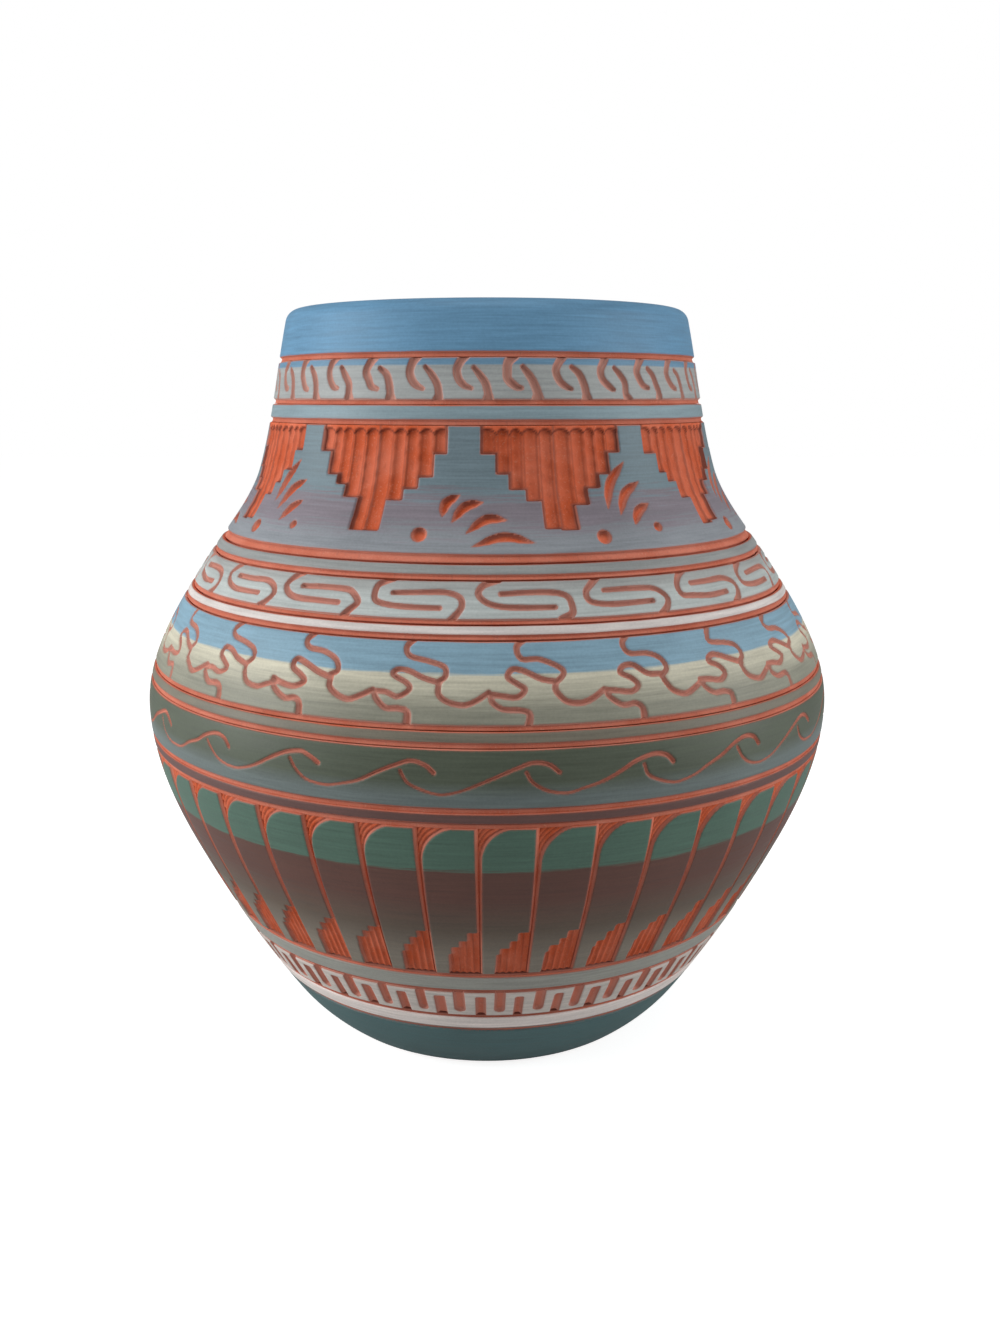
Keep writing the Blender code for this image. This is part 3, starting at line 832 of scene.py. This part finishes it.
def edged(sheet, carving, seed, cut, depth, shade):
    """Roll a coat's edges into its rings, bare the clay along them and shade the upper side of each cut."""
    low = sheet.arc + wobble(sheet.angle, carving.hand_wobble, seed)[None, :]
    high = sheet.length - sheet.arc + wobble(sheet.angle, carving.hand_wobble, seed + 1)[None, :]
    near = np.minimum(low, high)
    roll = np.clip(1.0 - near / carving.edge_roll, 0.0, 1.0)
    depth = np.maximum(depth, carving.edge_drop * roll**2)
    lean = np.gradient(cut, axis=0) / np.gradient(sheet.wall.arc)[:, None]
    strength, reach = UPPER_SHADES.get(kind_of(sheet.node), COMMON_UPPER_SHADE)
    upper = strength * np.clip(lean, 0.0, 1.0) * np.clip(1.0 + cut / reach, 0.0, 1.0)
    shade = np.maximum(shade, np.where(cut < 0.0, upper, 0.0))
    bare = carving.bare_edge * BARE_SHARES.get(sheet.node, 1.0)
    upper_edge = np.where(high < bare, EDGE_LIGHT, 1.0) * (high - bare)
    cut = np.minimum(cut, np.minimum(low - bare, upper_edge))
    return cut, np.minimum(depth, COAT_BACK - THINNEST_COAT), shade


def grid_faces(rows, columns, first, closed, inward):
    """Quads over a grid of vertices, wound to face outward or inward."""
    row = np.arange(rows - 1)[:, None]
    column = np.arange(columns if closed else columns - 1)[None, :]
    after = (column + 1) % columns
    corners = [row * columns + column, row * columns + after, (row + 1) * columns + after,
               (row + 1) * columns + column]
    if inward:
        corners.reverse()
    spread = [np.broadcast_to(corner, (rows - 1, column.size)) for corner in corners]
    return first + np.stack(spread, axis=-1).reshape(-1, 4)


def strip_map(rows, columns, strips, low, high):
    """Places on the texture for a grid's quads: the band cut into strips, stacked from low to high."""
    column = np.arange(columns)
    strip = column * strips // columns
    per = math.ceil(columns / strips)
    begin = np.array([np.argmax(strip == number) for number in range(strips)])
    tall = (high - low) / strips
    base = (low + strip * tall)[None, :]
    row = np.arange(rows - 1)[:, None]
    v0 = base + STRIP_FILL * tall * row / (rows - 1)
    v1 = base + STRIP_FILL * tall * (row + 1) / (rows - 1)
    u0 = np.broadcast_to((column - begin[strip]) / per, v0.shape)
    u1 = u0 + 1.0 / per
    return np.stack([u0, v0, u1, v0, u1, v1, u0, v1], axis=-1).reshape(-1, 4, 2)


def around(radius, height, angle):
    """Points at radius and height, turned to each angle from the front towards the right."""
    return np.stack(np.broadcast_arrays(radius * np.sin(angle), -radius * np.cos(angle), height), axis=-1)


def build_mesh(name, points, faces, places, values):
    """A smooth mesh with its texture places and its carving values."""
    mesh = bpy.data.meshes.new(name)
    mesh.from_pydata(points.tolist(), [], faces)
    for title, value in values.items():
        layer = mesh.attributes.new(title, "FLOAT", "POINT")
        layer.data.foreach_set("value", value.astype(np.float32))
    layer = mesh.uv_layers.new(name="OFBake")
    layer.data.foreach_set("uv", places.astype(np.float32).ravel())
    mesh.shade_smooth()
    return mesh


def coat_mesh(sheet, closed, cut, depth, shade, strips):
    """Closed shell of a coat: the carved face, a plain back and the walls between them."""
    wall = sheet.wall
    rows = len(wall.arc)
    columns = len(sheet.angle)
    angle = sheet.angle[None, :]
    sink = depth + SKIN
    face = around(wall.radius[:, None] - sink * wall.out_radius[:, None],
                  wall.height[:, None] - sink * wall.out_height[:, None], angle)
    spaced = np.linspace(0, rows - 1, max(2, math.ceil(sheet.length / BACK_ROW) + 1))
    picks = np.unique(np.round(spaced).astype(int))
    back = around((wall.radius - COAT_BACK * wall.out_radius)[picks, None],
                  (wall.height - COAT_BACK * wall.out_height)[picks, None], angle)
    first_back = rows * columns
    last_back = first_back + (len(picks) - 1) * columns
    front_faces = grid_faces(rows, columns, 0, closed, False)
    back_faces = grid_faces(len(picks), columns, first_back, closed, True)
    column = np.arange(columns if closed else columns - 1)
    after = (column + 1) % columns
    top = (rows - 1) * columns
    under = np.stack((after, column, first_back + column, first_back + after), axis=-1)
    over = np.stack((top + column, top + after, last_back + after, last_back + column), axis=-1)
    faces = np.vstack((front_faces, back_faces, under, over)).tolist()
    cells = len(column)
    places = [strip_map(rows, cells, strips, *FACE_STRIP), strip_map(len(picks), cells, 1, *BACK_STRIP),
              strip_map(2, cells, 1, *UNDER_STRIP), strip_map(2, cells, 1, *OVER_STRIP)]
    places = [np.vstack(places).reshape(-1, 2)]
    if not closed:
        front_side = np.arange(rows) * columns
        back_side = first_back + np.arange(len(picks)) * columns
        faces.append(np.concatenate((front_side, back_side[::-1])).tolist())
        faces.append((columns - 1 + np.concatenate((front_side[::-1], back_side))).tolist())
        turn = np.linspace(0.0, 1.0, 2 * len(faces[-1]))
        places.append(np.stack((turn, np.full_like(turn, SIDE_LINE)), axis=-1))
    points = np.vstack((face.reshape(-1, 3), back.reshape(-1, 3)))
    hidden = np.zeros(back.shape[0] * columns)
    values = {"cut": np.concatenate((cut.ravel() / MM, hidden - 1.0)),
              "shade": np.concatenate((shade.ravel(), hidden))}
    return build_mesh(sheet.node, points, faces, np.vstack(places), values)


def add_piece(name, mesh, material, slot, *nodes):
    """Put a finished piece on the jar in place of its nodes."""
    mesh.materials.append(material)
    piece = bpy.data.objects.new(name, mesh)
    bpy.context.scene.collection.objects.link(piece)
    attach(piece, "root")
    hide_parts(*nodes)


def add_band(context, node, field, columns=None):
    """Carve, paint and place one coat that runs all the way round."""
    carving = context.scene.jar_carving
    cell = CELLS.get(node, STRIPE_CELL)
    if columns is None:
        mid = float(coat_wall(node).radius.mean())
        columns = round(FULL_TURN * mid / cell)
    sheet = Sheet(node, ring_angles(columns), cell)
    seed = EDGE_SEED + 2 * COATS.index(node)
    etched = edged(sheet, carving, seed, *field(sheet, carving))
    strips = max(1, round(math.sqrt(FULL_TURN * sheet.mean_radius / sheet.length)))
    mesh = coat_mesh(sheet, True, *etched, strips)
    add_piece("painted_" + node, mesh, coat_material(context, node), node, node)


def rgb(colour):
    """Linear colour for a shader from a colour as it is seen."""
    seen = np.array(colour)
    light = np.where(seen <= 0.04045, seen / 12.92, ((seen + 0.055) / 1.055)**2.4)
    return (*light.tolist(), 1.0)


class Shading:
    """Small helper that adds and links the nodes of one material."""

    def __init__(self, tree):
        self.tree = tree

    def feed(self, node, inputs):
        """Link or set the inputs of a node."""
        for title, value in inputs.items():
            if isinstance(value, bpy.types.NodeSocket):
                self.tree.links.new(value, node.inputs[title])
            else:
                node.inputs[title].default_value = value

    def add(self, kind, inputs=None, **settings):
        """A new node with its settings and inputs."""
        node = self.tree.nodes.new(kind)
        for title, value in settings.items():
            setattr(node, title, value)
        self.feed(node, inputs or {})
        return node

    def math(self, operation, first, second):
        """Two numbers made into one."""
        return self.add("ShaderNodeMath", {0: first, 1: second}, operation=operation).outputs[0]

    def span(self, value, low, high, to_low=0.0, to_high=1.0, smooth=False):
        """A value between low and high brought to between two others."""
        inputs = {"Value": value, "From Min": low, "From Max": high, "To Min": to_low, "To Max": to_high}
        kind = "SMOOTHSTEP" if smooth else "LINEAR"
        return self.add("ShaderNodeMapRange", inputs, interpolation_type=kind).outputs["Result"]

    def mix(self, share, first, second, blend="MIX"):
        """Mix of two colours."""
        inputs = {0: share, 6: first, 7: second}
        return self.add("ShaderNodeMix", inputs, data_type="RGBA", blend_type=blend).outputs[2]

    def blend(self, share, first, second):
        """Mix of two numbers."""
        return self.add("ShaderNodeMix", {0: share, 2: first, 3: second}).outputs[0]

    def grey(self, light):
        """A number as a grey colour."""
        return self.add("ShaderNodeCombineXYZ", {"X": light, "Y": light, "Z": light}).outputs[0]

    def noise(self, place, scale, detail, roughness):
        """Soft noise at a place."""
        inputs = {"Vector": place, "Scale": scale, "Detail": detail, "Roughness": roughness}
        return self.add("ShaderNodeTexNoise", inputs).outputs["Fac"]

    def place(self):
        """Place on the jar, in metres."""
        return self.add("ShaderNodeTexCoord").outputs["Object"]

    def stretched(self, place, finer):
        """A place for noise that is finer up the jar than round it, or coarser if finer is below one."""
        return self.add("ShaderNodeMapping", {"Vector": place, "Scale": (1.0, 1.0, finer)}).outputs[0]

    def height(self, place):
        """Height of a place above the floor."""
        return self.add("ShaderNodeSeparateXYZ", {"Vector": place}).outputs["Z"]

    def value(self, title):
        """One of the mesh's carving values."""
        return self.add("ShaderNodeAttribute", attribute_name=title).outputs["Fac"]

    def bump(self, relief, strength, distance):
        """Normal of a fine relief."""
        inputs = {"Height": relief, "Strength": strength, "Distance": distance}
        return self.add("ShaderNodeBump", inputs).outputs["Normal"]


def new_material(name):
    """A new material, the helper for its nodes, and its shader."""
    material = bpy.data.materials.new(name)
    material.use_nodes = True
    return material, Shading(material.node_tree), material.node_tree.nodes["Principled BSDF"]


def clay_group(context):
    """Fired clay as a shared group: colour, roughness and grain, darker where it lies in shade."""
    group = bpy.data.node_groups.get("fired_clay")
    if group:
        return group
    box = context.scene.jar_paint
    group = bpy.data.node_groups.new("fired_clay", "ShaderNodeTree")
    group.interface.new_socket("Shade", in_out="INPUT", socket_type="NodeSocketFloat")
    for title, kind in (("Colour", "NodeSocketColor"), ("Roughness", "NodeSocketFloat"),
                        ("Grain", "NodeSocketFloat")):
        group.interface.new_socket(title, in_out="OUTPUT", socket_type=kind)
    make = Shading(group)
    given = make.add("NodeGroupInput")
    place = make.place()
    patches = make.noise(place, *CLAY_PATCHES)
    grain = make.noise(place, *CLAY_GRAIN)
    scratches = make.noise(make.stretched(place, SCRATCH_STRETCH), *CLAY_SCRATCHES)
    colour = make.mix(make.span(patches, *BURNT_SPAN), rgb(box.clay), rgb(box.clay_burnt))
    colour = make.mix(make.span(grain, *GRAIN_DUST_SPAN), colour, rgb(box.clay_dust))
    colour = make.mix(make.span(scratches, *SCRATCH_SPAN), colour, rgb(box.clay_shade))
    colour = make.mix(given.outputs["Shade"], colour, rgb(box.clay_shade))
    rough = make.span(grain, *CLAY_ROUGH_SPAN)
    height = make.math("ADD", grain, make.math("MULTIPLY", scratches, SCRATCH_RELIEF))
    make.add("NodeGroupOutput", {"Colour": colour, "Roughness": rough, "Grain": height})
    return group


def coat_ramp(make, box, kind, streaks, place):
    """Colours of a coat by its height, carried into each other by the streaks."""
    node = FEATHERS[0] if kind == "feather" else kind
    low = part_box(node)[0][2]
    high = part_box(node)[1][2]
    mixed = MIXING.get(kind, SLIGHT_MIXING)
    moved = make.span(streaks, *STREAK_RANGE, -mixed, mixed)
    share = make.math("ADD", make.span(make.height(place), low, high), moved)
    ramp = make.add("ShaderNodeValToRGB", {"Fac": share})
    steps = RAMPS[kind]
    while len(ramp.color_ramp.elements) < len(steps):
        ramp.color_ramp.elements.new(0.5)
    for element, (position, colour) in zip(ramp.color_ramp.elements, steps):
        element.position = position
        element.color = rgb(getattr(box, colour))
    return ramp.outputs["Color"]


def coat_material(context, kind):
    """Sprayed matt coat: colours by height, brush streaks, worn edges, and clay where it is cut through."""
    box = context.scene.jar_paint
    material, make, shader = new_material(kind + "_coat")
    cut = make.value("cut")
    shade = make.math("MAXIMUM", make.value("shade"), make.span(cut, *CUT_SHADE_SPAN))
    clay = make.add("ShaderNodeGroup", node_tree=clay_group(context))
    make.feed(clay, {"Shade": shade})
    place = make.place()
    streaks = make.noise(make.stretched(place, STREAK_STRETCH), *COAT_STREAKS)
    cloud = make.noise(place, *COAT_CLOUD)
    speckle = make.noise(place, *COAT_SPECKLE)
    light = make.math("ADD", make.span(streaks, *STREAK_LIGHT_SPAN), make.span(cloud, *CLOUD_LIGHT_SPAN))
    light = make.math("ADD", light, make.span(speckle, *SPECKLE_LIGHT_SPAN))
    coat = make.mix(1.0, coat_ramp(make, box, kind, streaks, place), make.grey(light), "MULTIPLY")
    wear = make.math("MULTIPLY", make.span(cut, *WEAR_SPAN), make.span(speckle, *WEAR_SPECKLE_SPAN))
    coat = make.mix(wear, coat, clay.outputs["Colour"])
    lying = make.span(cut, *DUST_DEPTHS, *STROKE_DUST.get(kind, SLIGHT_DUST))
    dust = make.math("MULTIPLY", lying, make.math("SUBTRACT", 1.0, shade))
    dusted = make.mix(dust, clay.outputs["Colour"], rgb(box.stroke_dust))
    ragged = make.math("ADD", cut, make.span(speckle, *RAGGED_SPAN))
    painted = make.span(ragged, *PAINT_EDGE_SPAN, smooth=True)
    coat_rough = make.span(streaks, *COAT_ROUGH_SPAN)
    brushed = make.math("MULTIPLY", streaks, STREAK_RELIEF)
    relief = make.blend(painted, clay.outputs["Grain"], brushed)
    make.feed(shader, {
        "Base Color": make.mix(painted, dusted, coat),
        "Roughness": make.blend(painted, clay.outputs["Roughness"], coat_rough),
        "Normal": make.bump(relief, *COAT_BUMP),
        "Specular IOR Level": COAT_SPECULAR,
    })
    return material


def clay_material(context):
    """Bare clay of the body, inside and under the foot."""
    box = context.scene.jar_paint
    material, make, shader = new_material("bare_clay")
    clay = make.add("ShaderNodeGroup", node_tree=clay_group(context))
    make.feed(clay, {"Shade": make.value("shade")})
    place = make.place()
    bands = make.noise(make.stretched(place, BAND_STRETCH), *CLAY_BANDS)
    light = make.grey(make.span(bands, *BAND_LIGHT_SPAN))
    toned = make.mix(1.0, clay.outputs["Colour"], light, "MULTIPLY")
    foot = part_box("foot_stripe")[0][2] + FOOT_DUST_START
    low_dust = make.span(make.height(place), foot, foot + MM, FOOT_DUST, 0.0)
    dust = make.math("ADD", make.span(bands, *BAND_DUST_SPAN), low_dust)
    make.feed(shader, {
        "Base Color": make.mix(dust, toned, rgb(box.ring_dust)),
        "Roughness": clay.outputs["Roughness"],
        "Normal": make.bump(clay.outputs["Grain"], *CLAY_BUMP),
        "Specular IOR Level": CLAY_SPECULAR,
    })
    return material


def clay_section(carving):
    """Heights, depths and shades up the wall, with a rounded bed in each ring."""
    heights = []
    depths = []
    shades = []
    for below, above in zip(COATS[::-1], COATS[-2::-1]):
        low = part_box(below)[1][2]
        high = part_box(above)[0][2]
        for place, share in RING_BED:
            heights.append((low + high) / 2.0 + place * (high - low) / 2.0)
            floor = carving.ring_depth - RING_ROUNDING * (1.0 - share)
            depths.append(floor if share > 0.0 else CLAY_DEPTH)
            shades.append(max(RING_SHADES.get(below, 0.0), RING_UPPER_SHADE * place))
    plain = np.arange(CLAY_FIRST_ROW, heights[-1], CLAY_ROW)
    apart = np.min(np.abs(plain[:, None] - np.array(heights)[None, :]), axis=1) > CLAY_ROW_LEAST
    collar = np.arange(heights[-1] + CLAY_ROW, lip_centre()[3] - COLLAR_GAP, CLAY_ROW)
    plain = np.concatenate((plain[apart], collar))
    heights = np.concatenate((heights, plain))
    depths = np.concatenate((depths, np.full(len(plain), CLAY_DEPTH)))
    shades = np.concatenate((shades, np.zeros(len(plain))))
    order = np.argsort(heights)
    return heights[order], depths[order], shades[order]


def clay_lip():
    """Points over the rounded lip: under the coat, then bare, where the clay rises past the coat's end."""
    radius, middle, tilt, _ = lip_centre()
    coat_end = math.pi / 2.0 + LIP_WRAP
    covered = np.linspace(tilt, coat_end - LIP_GAP, LIP_COVERED_ROWS)
    bare = np.linspace(coat_end + LIP_GAP, tilt + math.pi, LIP_BARE_ROWS)
    sinking = np.linspace(0.0, 1.0, LIP_BARE_ROWS)**2
    bare_depth = BARE_LIP_DEPTH + (CLAY_DEPTH - BARE_LIP_DEPTH) * sinking
    turn = np.concatenate((covered, bare))
    reach = LIP_RADIUS - np.concatenate((np.full(LIP_COVERED_ROWS, CLAY_DEPTH), bare_depth))
    return list(zip(radius + reach * np.cos(turn), middle + reach * np.sin(turn), np.zeros_like(turn)))


def clay_hollow(top):
    """Points down the hollow with its faint throwing rings, round the fillet and across the floor."""
    height = np.linspace(top, FLOOR_HEIGHT + FLOOR_FILLET, HOLLOW_ROWS)[1:]
    begun = np.clip((top - height) / THROWING_START, 0.0, 1.0)
    radius = sunk(height, HOLLOW_DEPTH) + THROWING_DEPTH * np.sin(height / THROWING_PITCH) * begun
    low = float(sunk(np.array([FLOOR_HEIGHT]), HOLLOW_DEPTH)[0]) - FLOOR_INSET
    bend = math.pi / 2.0 * np.linspace(0.0, 1.0, FILLET_ROWS + 1)[1:]
    left = 1.0 - np.sin(bend)
    bent = FLOOR_HEIGHT + FLOOR_FILLET * (left + FLOOR_BULGE * np.sin(2.0 * bend))
    points = list(zip(radius, height, np.zeros_like(height)))
    points += list(zip(low + (radius[-1] - low) * left, bent, np.zeros_like(bent)))
    points += [(low * share, FLOOR_HEIGHT, 0.0) for share in FLOOR_RINGS]
    return points + [(AXIS_HOLE, FLOOR_HEIGHT, 0.0)]


def clay_profile(carving):
    """The whole section as radius, height and shade, from the base's middle to the floor's."""
    heights, depths, shades = clay_section(carving)
    foot = float(sunk(np.array([FOOT_RISE]), CLAY_DEPTH)[0])
    points = [(ring, 0.0, 0.0) for ring in BASE_RINGS]
    points += [(foot - inset, height, 0.0) for inset, height in FOOT_EDGE]
    points += list(zip(sunk(heights, depths), heights, shades))
    points += clay_lip()
    return np.array(points + clay_hollow(points[-1][1]))


def turned_mesh(name, profile, columns):
    """Closed mesh of a section turned once round the axis, capped at both ends."""
    angle = ring_angles(columns)[None, :]
    points = around(profile[:, 0:1], profile[:, 1:2], angle).reshape(-1, 3)
    rows = len(profile)
    faces = grid_faces(rows, columns, 0, True, False).tolist()
    faces.append(list(range(columns))[::-1])
    faces.append(list(range((rows - 1) * columns, rows * columns)))
    places = [strip_map(rows, columns, 2, *TURNED_STRIP).reshape(-1, 2)]
    circle = np.stack((np.sin(angle[0]), np.cos(angle[0])), axis=-1) * CAP_RADIUS + 2.0 * CAP_RADIUS
    places += [circle, circle + (CAP_STEP, 0.0)]
    values = {"shade": np.repeat(profile[:, 2], columns)}
    return build_mesh(name, points, faces, np.vstack(places), values)


class JAR_OT_clay_body(bpy.types.Operator):
    """Turn the clay body: its wall with beds for the etched rings, its lip, its hollow and its base"""

    bl_idname = "jar.clay_body"
    bl_label = "Clay Body"

    def execute(self, context):
        profile = clay_profile(context.scene.jar_carving)
        mesh = turned_mesh("clay_body", profile, CLAY_COLUMNS)
        add_piece("turned_clay_body", mesh, clay_material(context), "clay_body", "clay_body")
        return {"FINISHED"}


class JAR_OT_plain_coats(bpy.types.Operator):
    """Paint the rim, the foot and the stripes, which carry no carving of their own"""

    bl_idname = "jar.plain_coats"
    bl_label = "Rim, Stripes and Foot"

    def execute(self, context):
        for node in COATS:
            if node not in CELLS and node not in FEATHERS:
                add_band(context, node, plain_field, STRIPE_COLUMNS)
        return {"FINISHED"}


class JAR_OT_hook_band(bpy.types.Operator):
    """Etch hooks that hang and rise by turns below the rim"""

    bl_idname = "jar.hook_band"
    bl_label = "Hook Band"

    def execute(self, context):
        add_band(context, "hook_band", stroke_field)
        return {"FINISHED"}


class JAR_OT_step_band(bpy.types.Operator):
    """Carve the fluted terraces of the shoulder and the fans between them"""

    bl_idname = "jar.step_band"
    bl_label = "Step Band"

    def execute(self, context):
        add_band(context, "step_band", step_field)
        return {"FINISHED"}


class JAR_OT_scroll_band(bpy.types.Operator):
    """Etch the band of scrolls"""

    bl_idname = "jar.scroll_band"
    bl_label = "Scroll Band"

    def execute(self, context):
        add_band(context, "scroll_band", stroke_field)
        return {"FINISHED"}


class JAR_OT_meander_band(bpy.types.Operator):
    """Etch the winding lines of the upper belly"""

    bl_idname = "jar.meander_band"
    bl_label = "Meander Band"

    def execute(self, context):
        add_band(context, "meander_band", stroke_field)
        return {"FINISHED"}


class JAR_OT_wave_band(bpy.types.Operator):
    """Etch the waves round the widest part of the belly"""

    bl_idname = "jar.wave_band"
    bl_label = "Wave Band"

    def execute(self, context):
        add_band(context, "wave_band", stroke_field)
        return {"FINISHED"}


class JAR_OT_feathers(bpy.types.Operator):
    """Carve the ring of feathers, each its own piece between two etched lines"""

    bl_idname = "jar.feathers"
    bl_label = "Feathers"

    def execute(self, context):
        carving = context.scene.jar_carving
        material = coat_material(context, "feather")
        pitch = FULL_TURN / len(FEATHERS)
        columns = math.ceil(pitch * BELLY_RADIUS / FEATHER_CELL) + 1
        for number, node in enumerate(FEATHERS):
            low = np.array(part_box(node)[0])
            high = np.array(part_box(node)[1])
            middle = (low + high) / 2.0
            place = math.atan2(middle[0], -middle[1])
            start = FEATHER_FIRST + math.floor(wrapped(place - FEATHER_FIRST) / pitch) * pitch
            angle = np.linspace(start + FEATHER_GAP, start + pitch - FEATHER_GAP, columns)
            sheet = Sheet(node, angle, FEATHER_CELL)
            hand = np.random.default_rng(FEATHER_SEED + number)
            etched = edged(sheet, carving, FEATHER_EDGE_SEED, *feather_field(sheet, carving, hand))
            mesh = coat_mesh(sheet, False, *etched, 1)
            add_piece("painted_" + node, mesh, material, "feather", node)
        return {"FINISHED"}


class JAR_OT_key_band(bpy.types.Operator):
    """Cut the slots of the key fret above the foot"""

    bl_idname = "jar.key_band"
    bl_label = "Key Band"

    def execute(self, context):
        add_band(context, "key_band", key_field)
        return {"FINISHED"}


def add_lamp(name, place, target, size, watts):
    """Large soft lamp aimed at a point."""
    lamp = bpy.data.lights.new(name, "AREA")
    lamp.shape = "RECTANGLE"
    lamp.size, lamp.size_y = size
    lamp.energy = watts
    thing = bpy.data.objects.new(name, lamp)
    thing.location = place
    aim = np.array(target) - np.array(place)
    level = math.hypot(aim[0], aim[1])
    thing.rotation_euler = (math.atan2(level, -aim[2]), 0.0, math.atan2(aim[1], aim[0]) - math.pi / 2.0)
    bpy.context.scene.collection.objects.link(thing)


class JAR_OT_stage(bpy.types.Operator):
    """Set the pale floor, the soft lamps, the even room light and the camera"""

    bl_idname = "jar.stage"
    bl_label = "Studio Stage"

    def execute(self, context):
        stage = context.scene.jar_stage
        self.floor(stage)
        self.room(context, stage)
        for name, (place, target, size, setting) in LAMPS.items():
            add_lamp(name, place, target, size, getattr(stage, setting))
        camera = bpy.data.cameras.new("camera")
        camera.lens = stage.camera_lens
        camera.shift_x = stage.camera_shift
        camera.clip_start = NEAREST_VIEW
        eye = bpy.data.objects.new("camera", camera)
        eye.location = (0.0, -stage.camera_distance, stage.camera_height)
        eye.rotation_euler = (math.pi / 2.0 - stage.camera_pitch, 0.0, 0.0)
        context.scene.collection.objects.link(eye)
        context.scene.camera = eye
        context.scene.view_settings.view_transform = "Standard"
        return {"FINISHED"}

    def floor(self, stage):
        """Pale floor that reads as white to the camera and keeps the jar's shadow."""
        mesh = bpy.data.meshes.new("floor")
        sides = ((-1, -1), (1, -1), (1, 1), (-1, 1))
        corners = [(x * FLOOR_HALF, y * FLOOR_HALF, -FLOOR_DROP) for x, y in sides]
        mesh.from_pydata(corners, [], [(0, 1, 2, 3)])
        material, make, shader = new_material("floor")
        tone = make.span(make.noise(make.place(), *FLOOR_CLOUD), *FLOOR_TONE_SPAN)
        path = make.add("ShaderNodeLightPath").outputs
        mirrored = make.math("MULTIPLY", path["Is Glossy Ray"], stage.floor_sheen)
        glow = make.math("MAXIMUM", make.math("MULTIPLY", path["Is Camera Ray"], stage.floor_glow), mirrored)
        make.feed(shader, {
            "Base Color": make.grey(tone),
            "Roughness": FLOOR_ROUGHNESS,
            "Specular IOR Level": 0.0,
            "Emission Color": WHITE,
            "Emission Strength": glow,
        })
        mesh.materials.append(material)
        floor = bpy.data.objects.new("floor", mesh)
        bpy.context.scene.collection.objects.link(floor)

    def room(self, context, stage):
        """Even room light on the jar, and white behind it for the camera."""
        world = bpy.data.worlds.new("room")
        world.use_nodes = True
        context.scene.world = world
        make = Shading(world.node_tree)
        path = make.add("ShaderNodeLightPath").outputs
        seen = make.math("MAXIMUM", path["Is Camera Ray"], path["Is Transmission Ray"])
        strength = make.span(seen, 0.0, 1.0, stage.room_light, 1.0)
        make.feed(world.node_tree.nodes["Background"], {"Color": WHITE, "Strength": strength})


PIECES = (JAR_OT_clay_body, JAR_OT_plain_coats, JAR_OT_hook_band, JAR_OT_step_band, JAR_OT_scroll_band,
          JAR_OT_meander_band, JAR_OT_wave_band, JAR_OT_feathers, JAR_OT_key_band, JAR_OT_stage)


class JAR_PT_panel(bpy.types.Panel):
    """Panel that lists the jar's pieces in the order of the work"""

    bl_label = "Etched Jar"
    bl_idname = "JAR_PT_panel"
    bl_space_type = "VIEW_3D"
    bl_region_type = "UI"
    bl_category = "Jar"

    def draw(self, context):
        for piece in PIECES:
            self.layout.operator(piece.bl_idname)
        for settings in (context.scene.jar_carving, context.scene.jar_paint, context.scene.jar_stage):
            column = self.layout.column()
            for title in settings.bl_rna.properties.keys():
                if title not in {"rna_type", "name"}:
                    column.prop(settings, title)


SETTINGS = (("jar_carving", JarCarving), ("jar_paint", JarPaint), ("jar_stage", JarStage))


def register():
    """Add the settings, the operators and the panel."""
    for title, group in SETTINGS:
        bpy.utils.register_class(group)
        setattr(bpy.types.Scene, title, bpy.props.PointerProperty(type=group))
    for kind in (*PIECES, JAR_PT_panel):
        bpy.utils.register_class(kind)


def unregister():
    """Take the panel, the operators and the settings away again."""
    for kind in (JAR_PT_panel, *reversed(PIECES)):
        bpy.utils.unregister_class(kind)
    for title, group in reversed(SETTINGS):
        delattr(bpy.types.Scene, title)
        bpy.utils.unregister_class(group)


def main():
    """Build the jar and its stage."""
    register()
    bpy.ops.jar.clay_body()
    bpy.ops.jar.plain_coats()
    bpy.ops.jar.hook_band()
    bpy.ops.jar.step_band()
    bpy.ops.jar.scroll_band()
    bpy.ops.jar.meander_band()
    bpy.ops.jar.wave_band()
    bpy.ops.jar.feathers()
    bpy.ops.jar.key_band()
    bpy.ops.jar.stage()


if __name__ == "__main__":
    main()
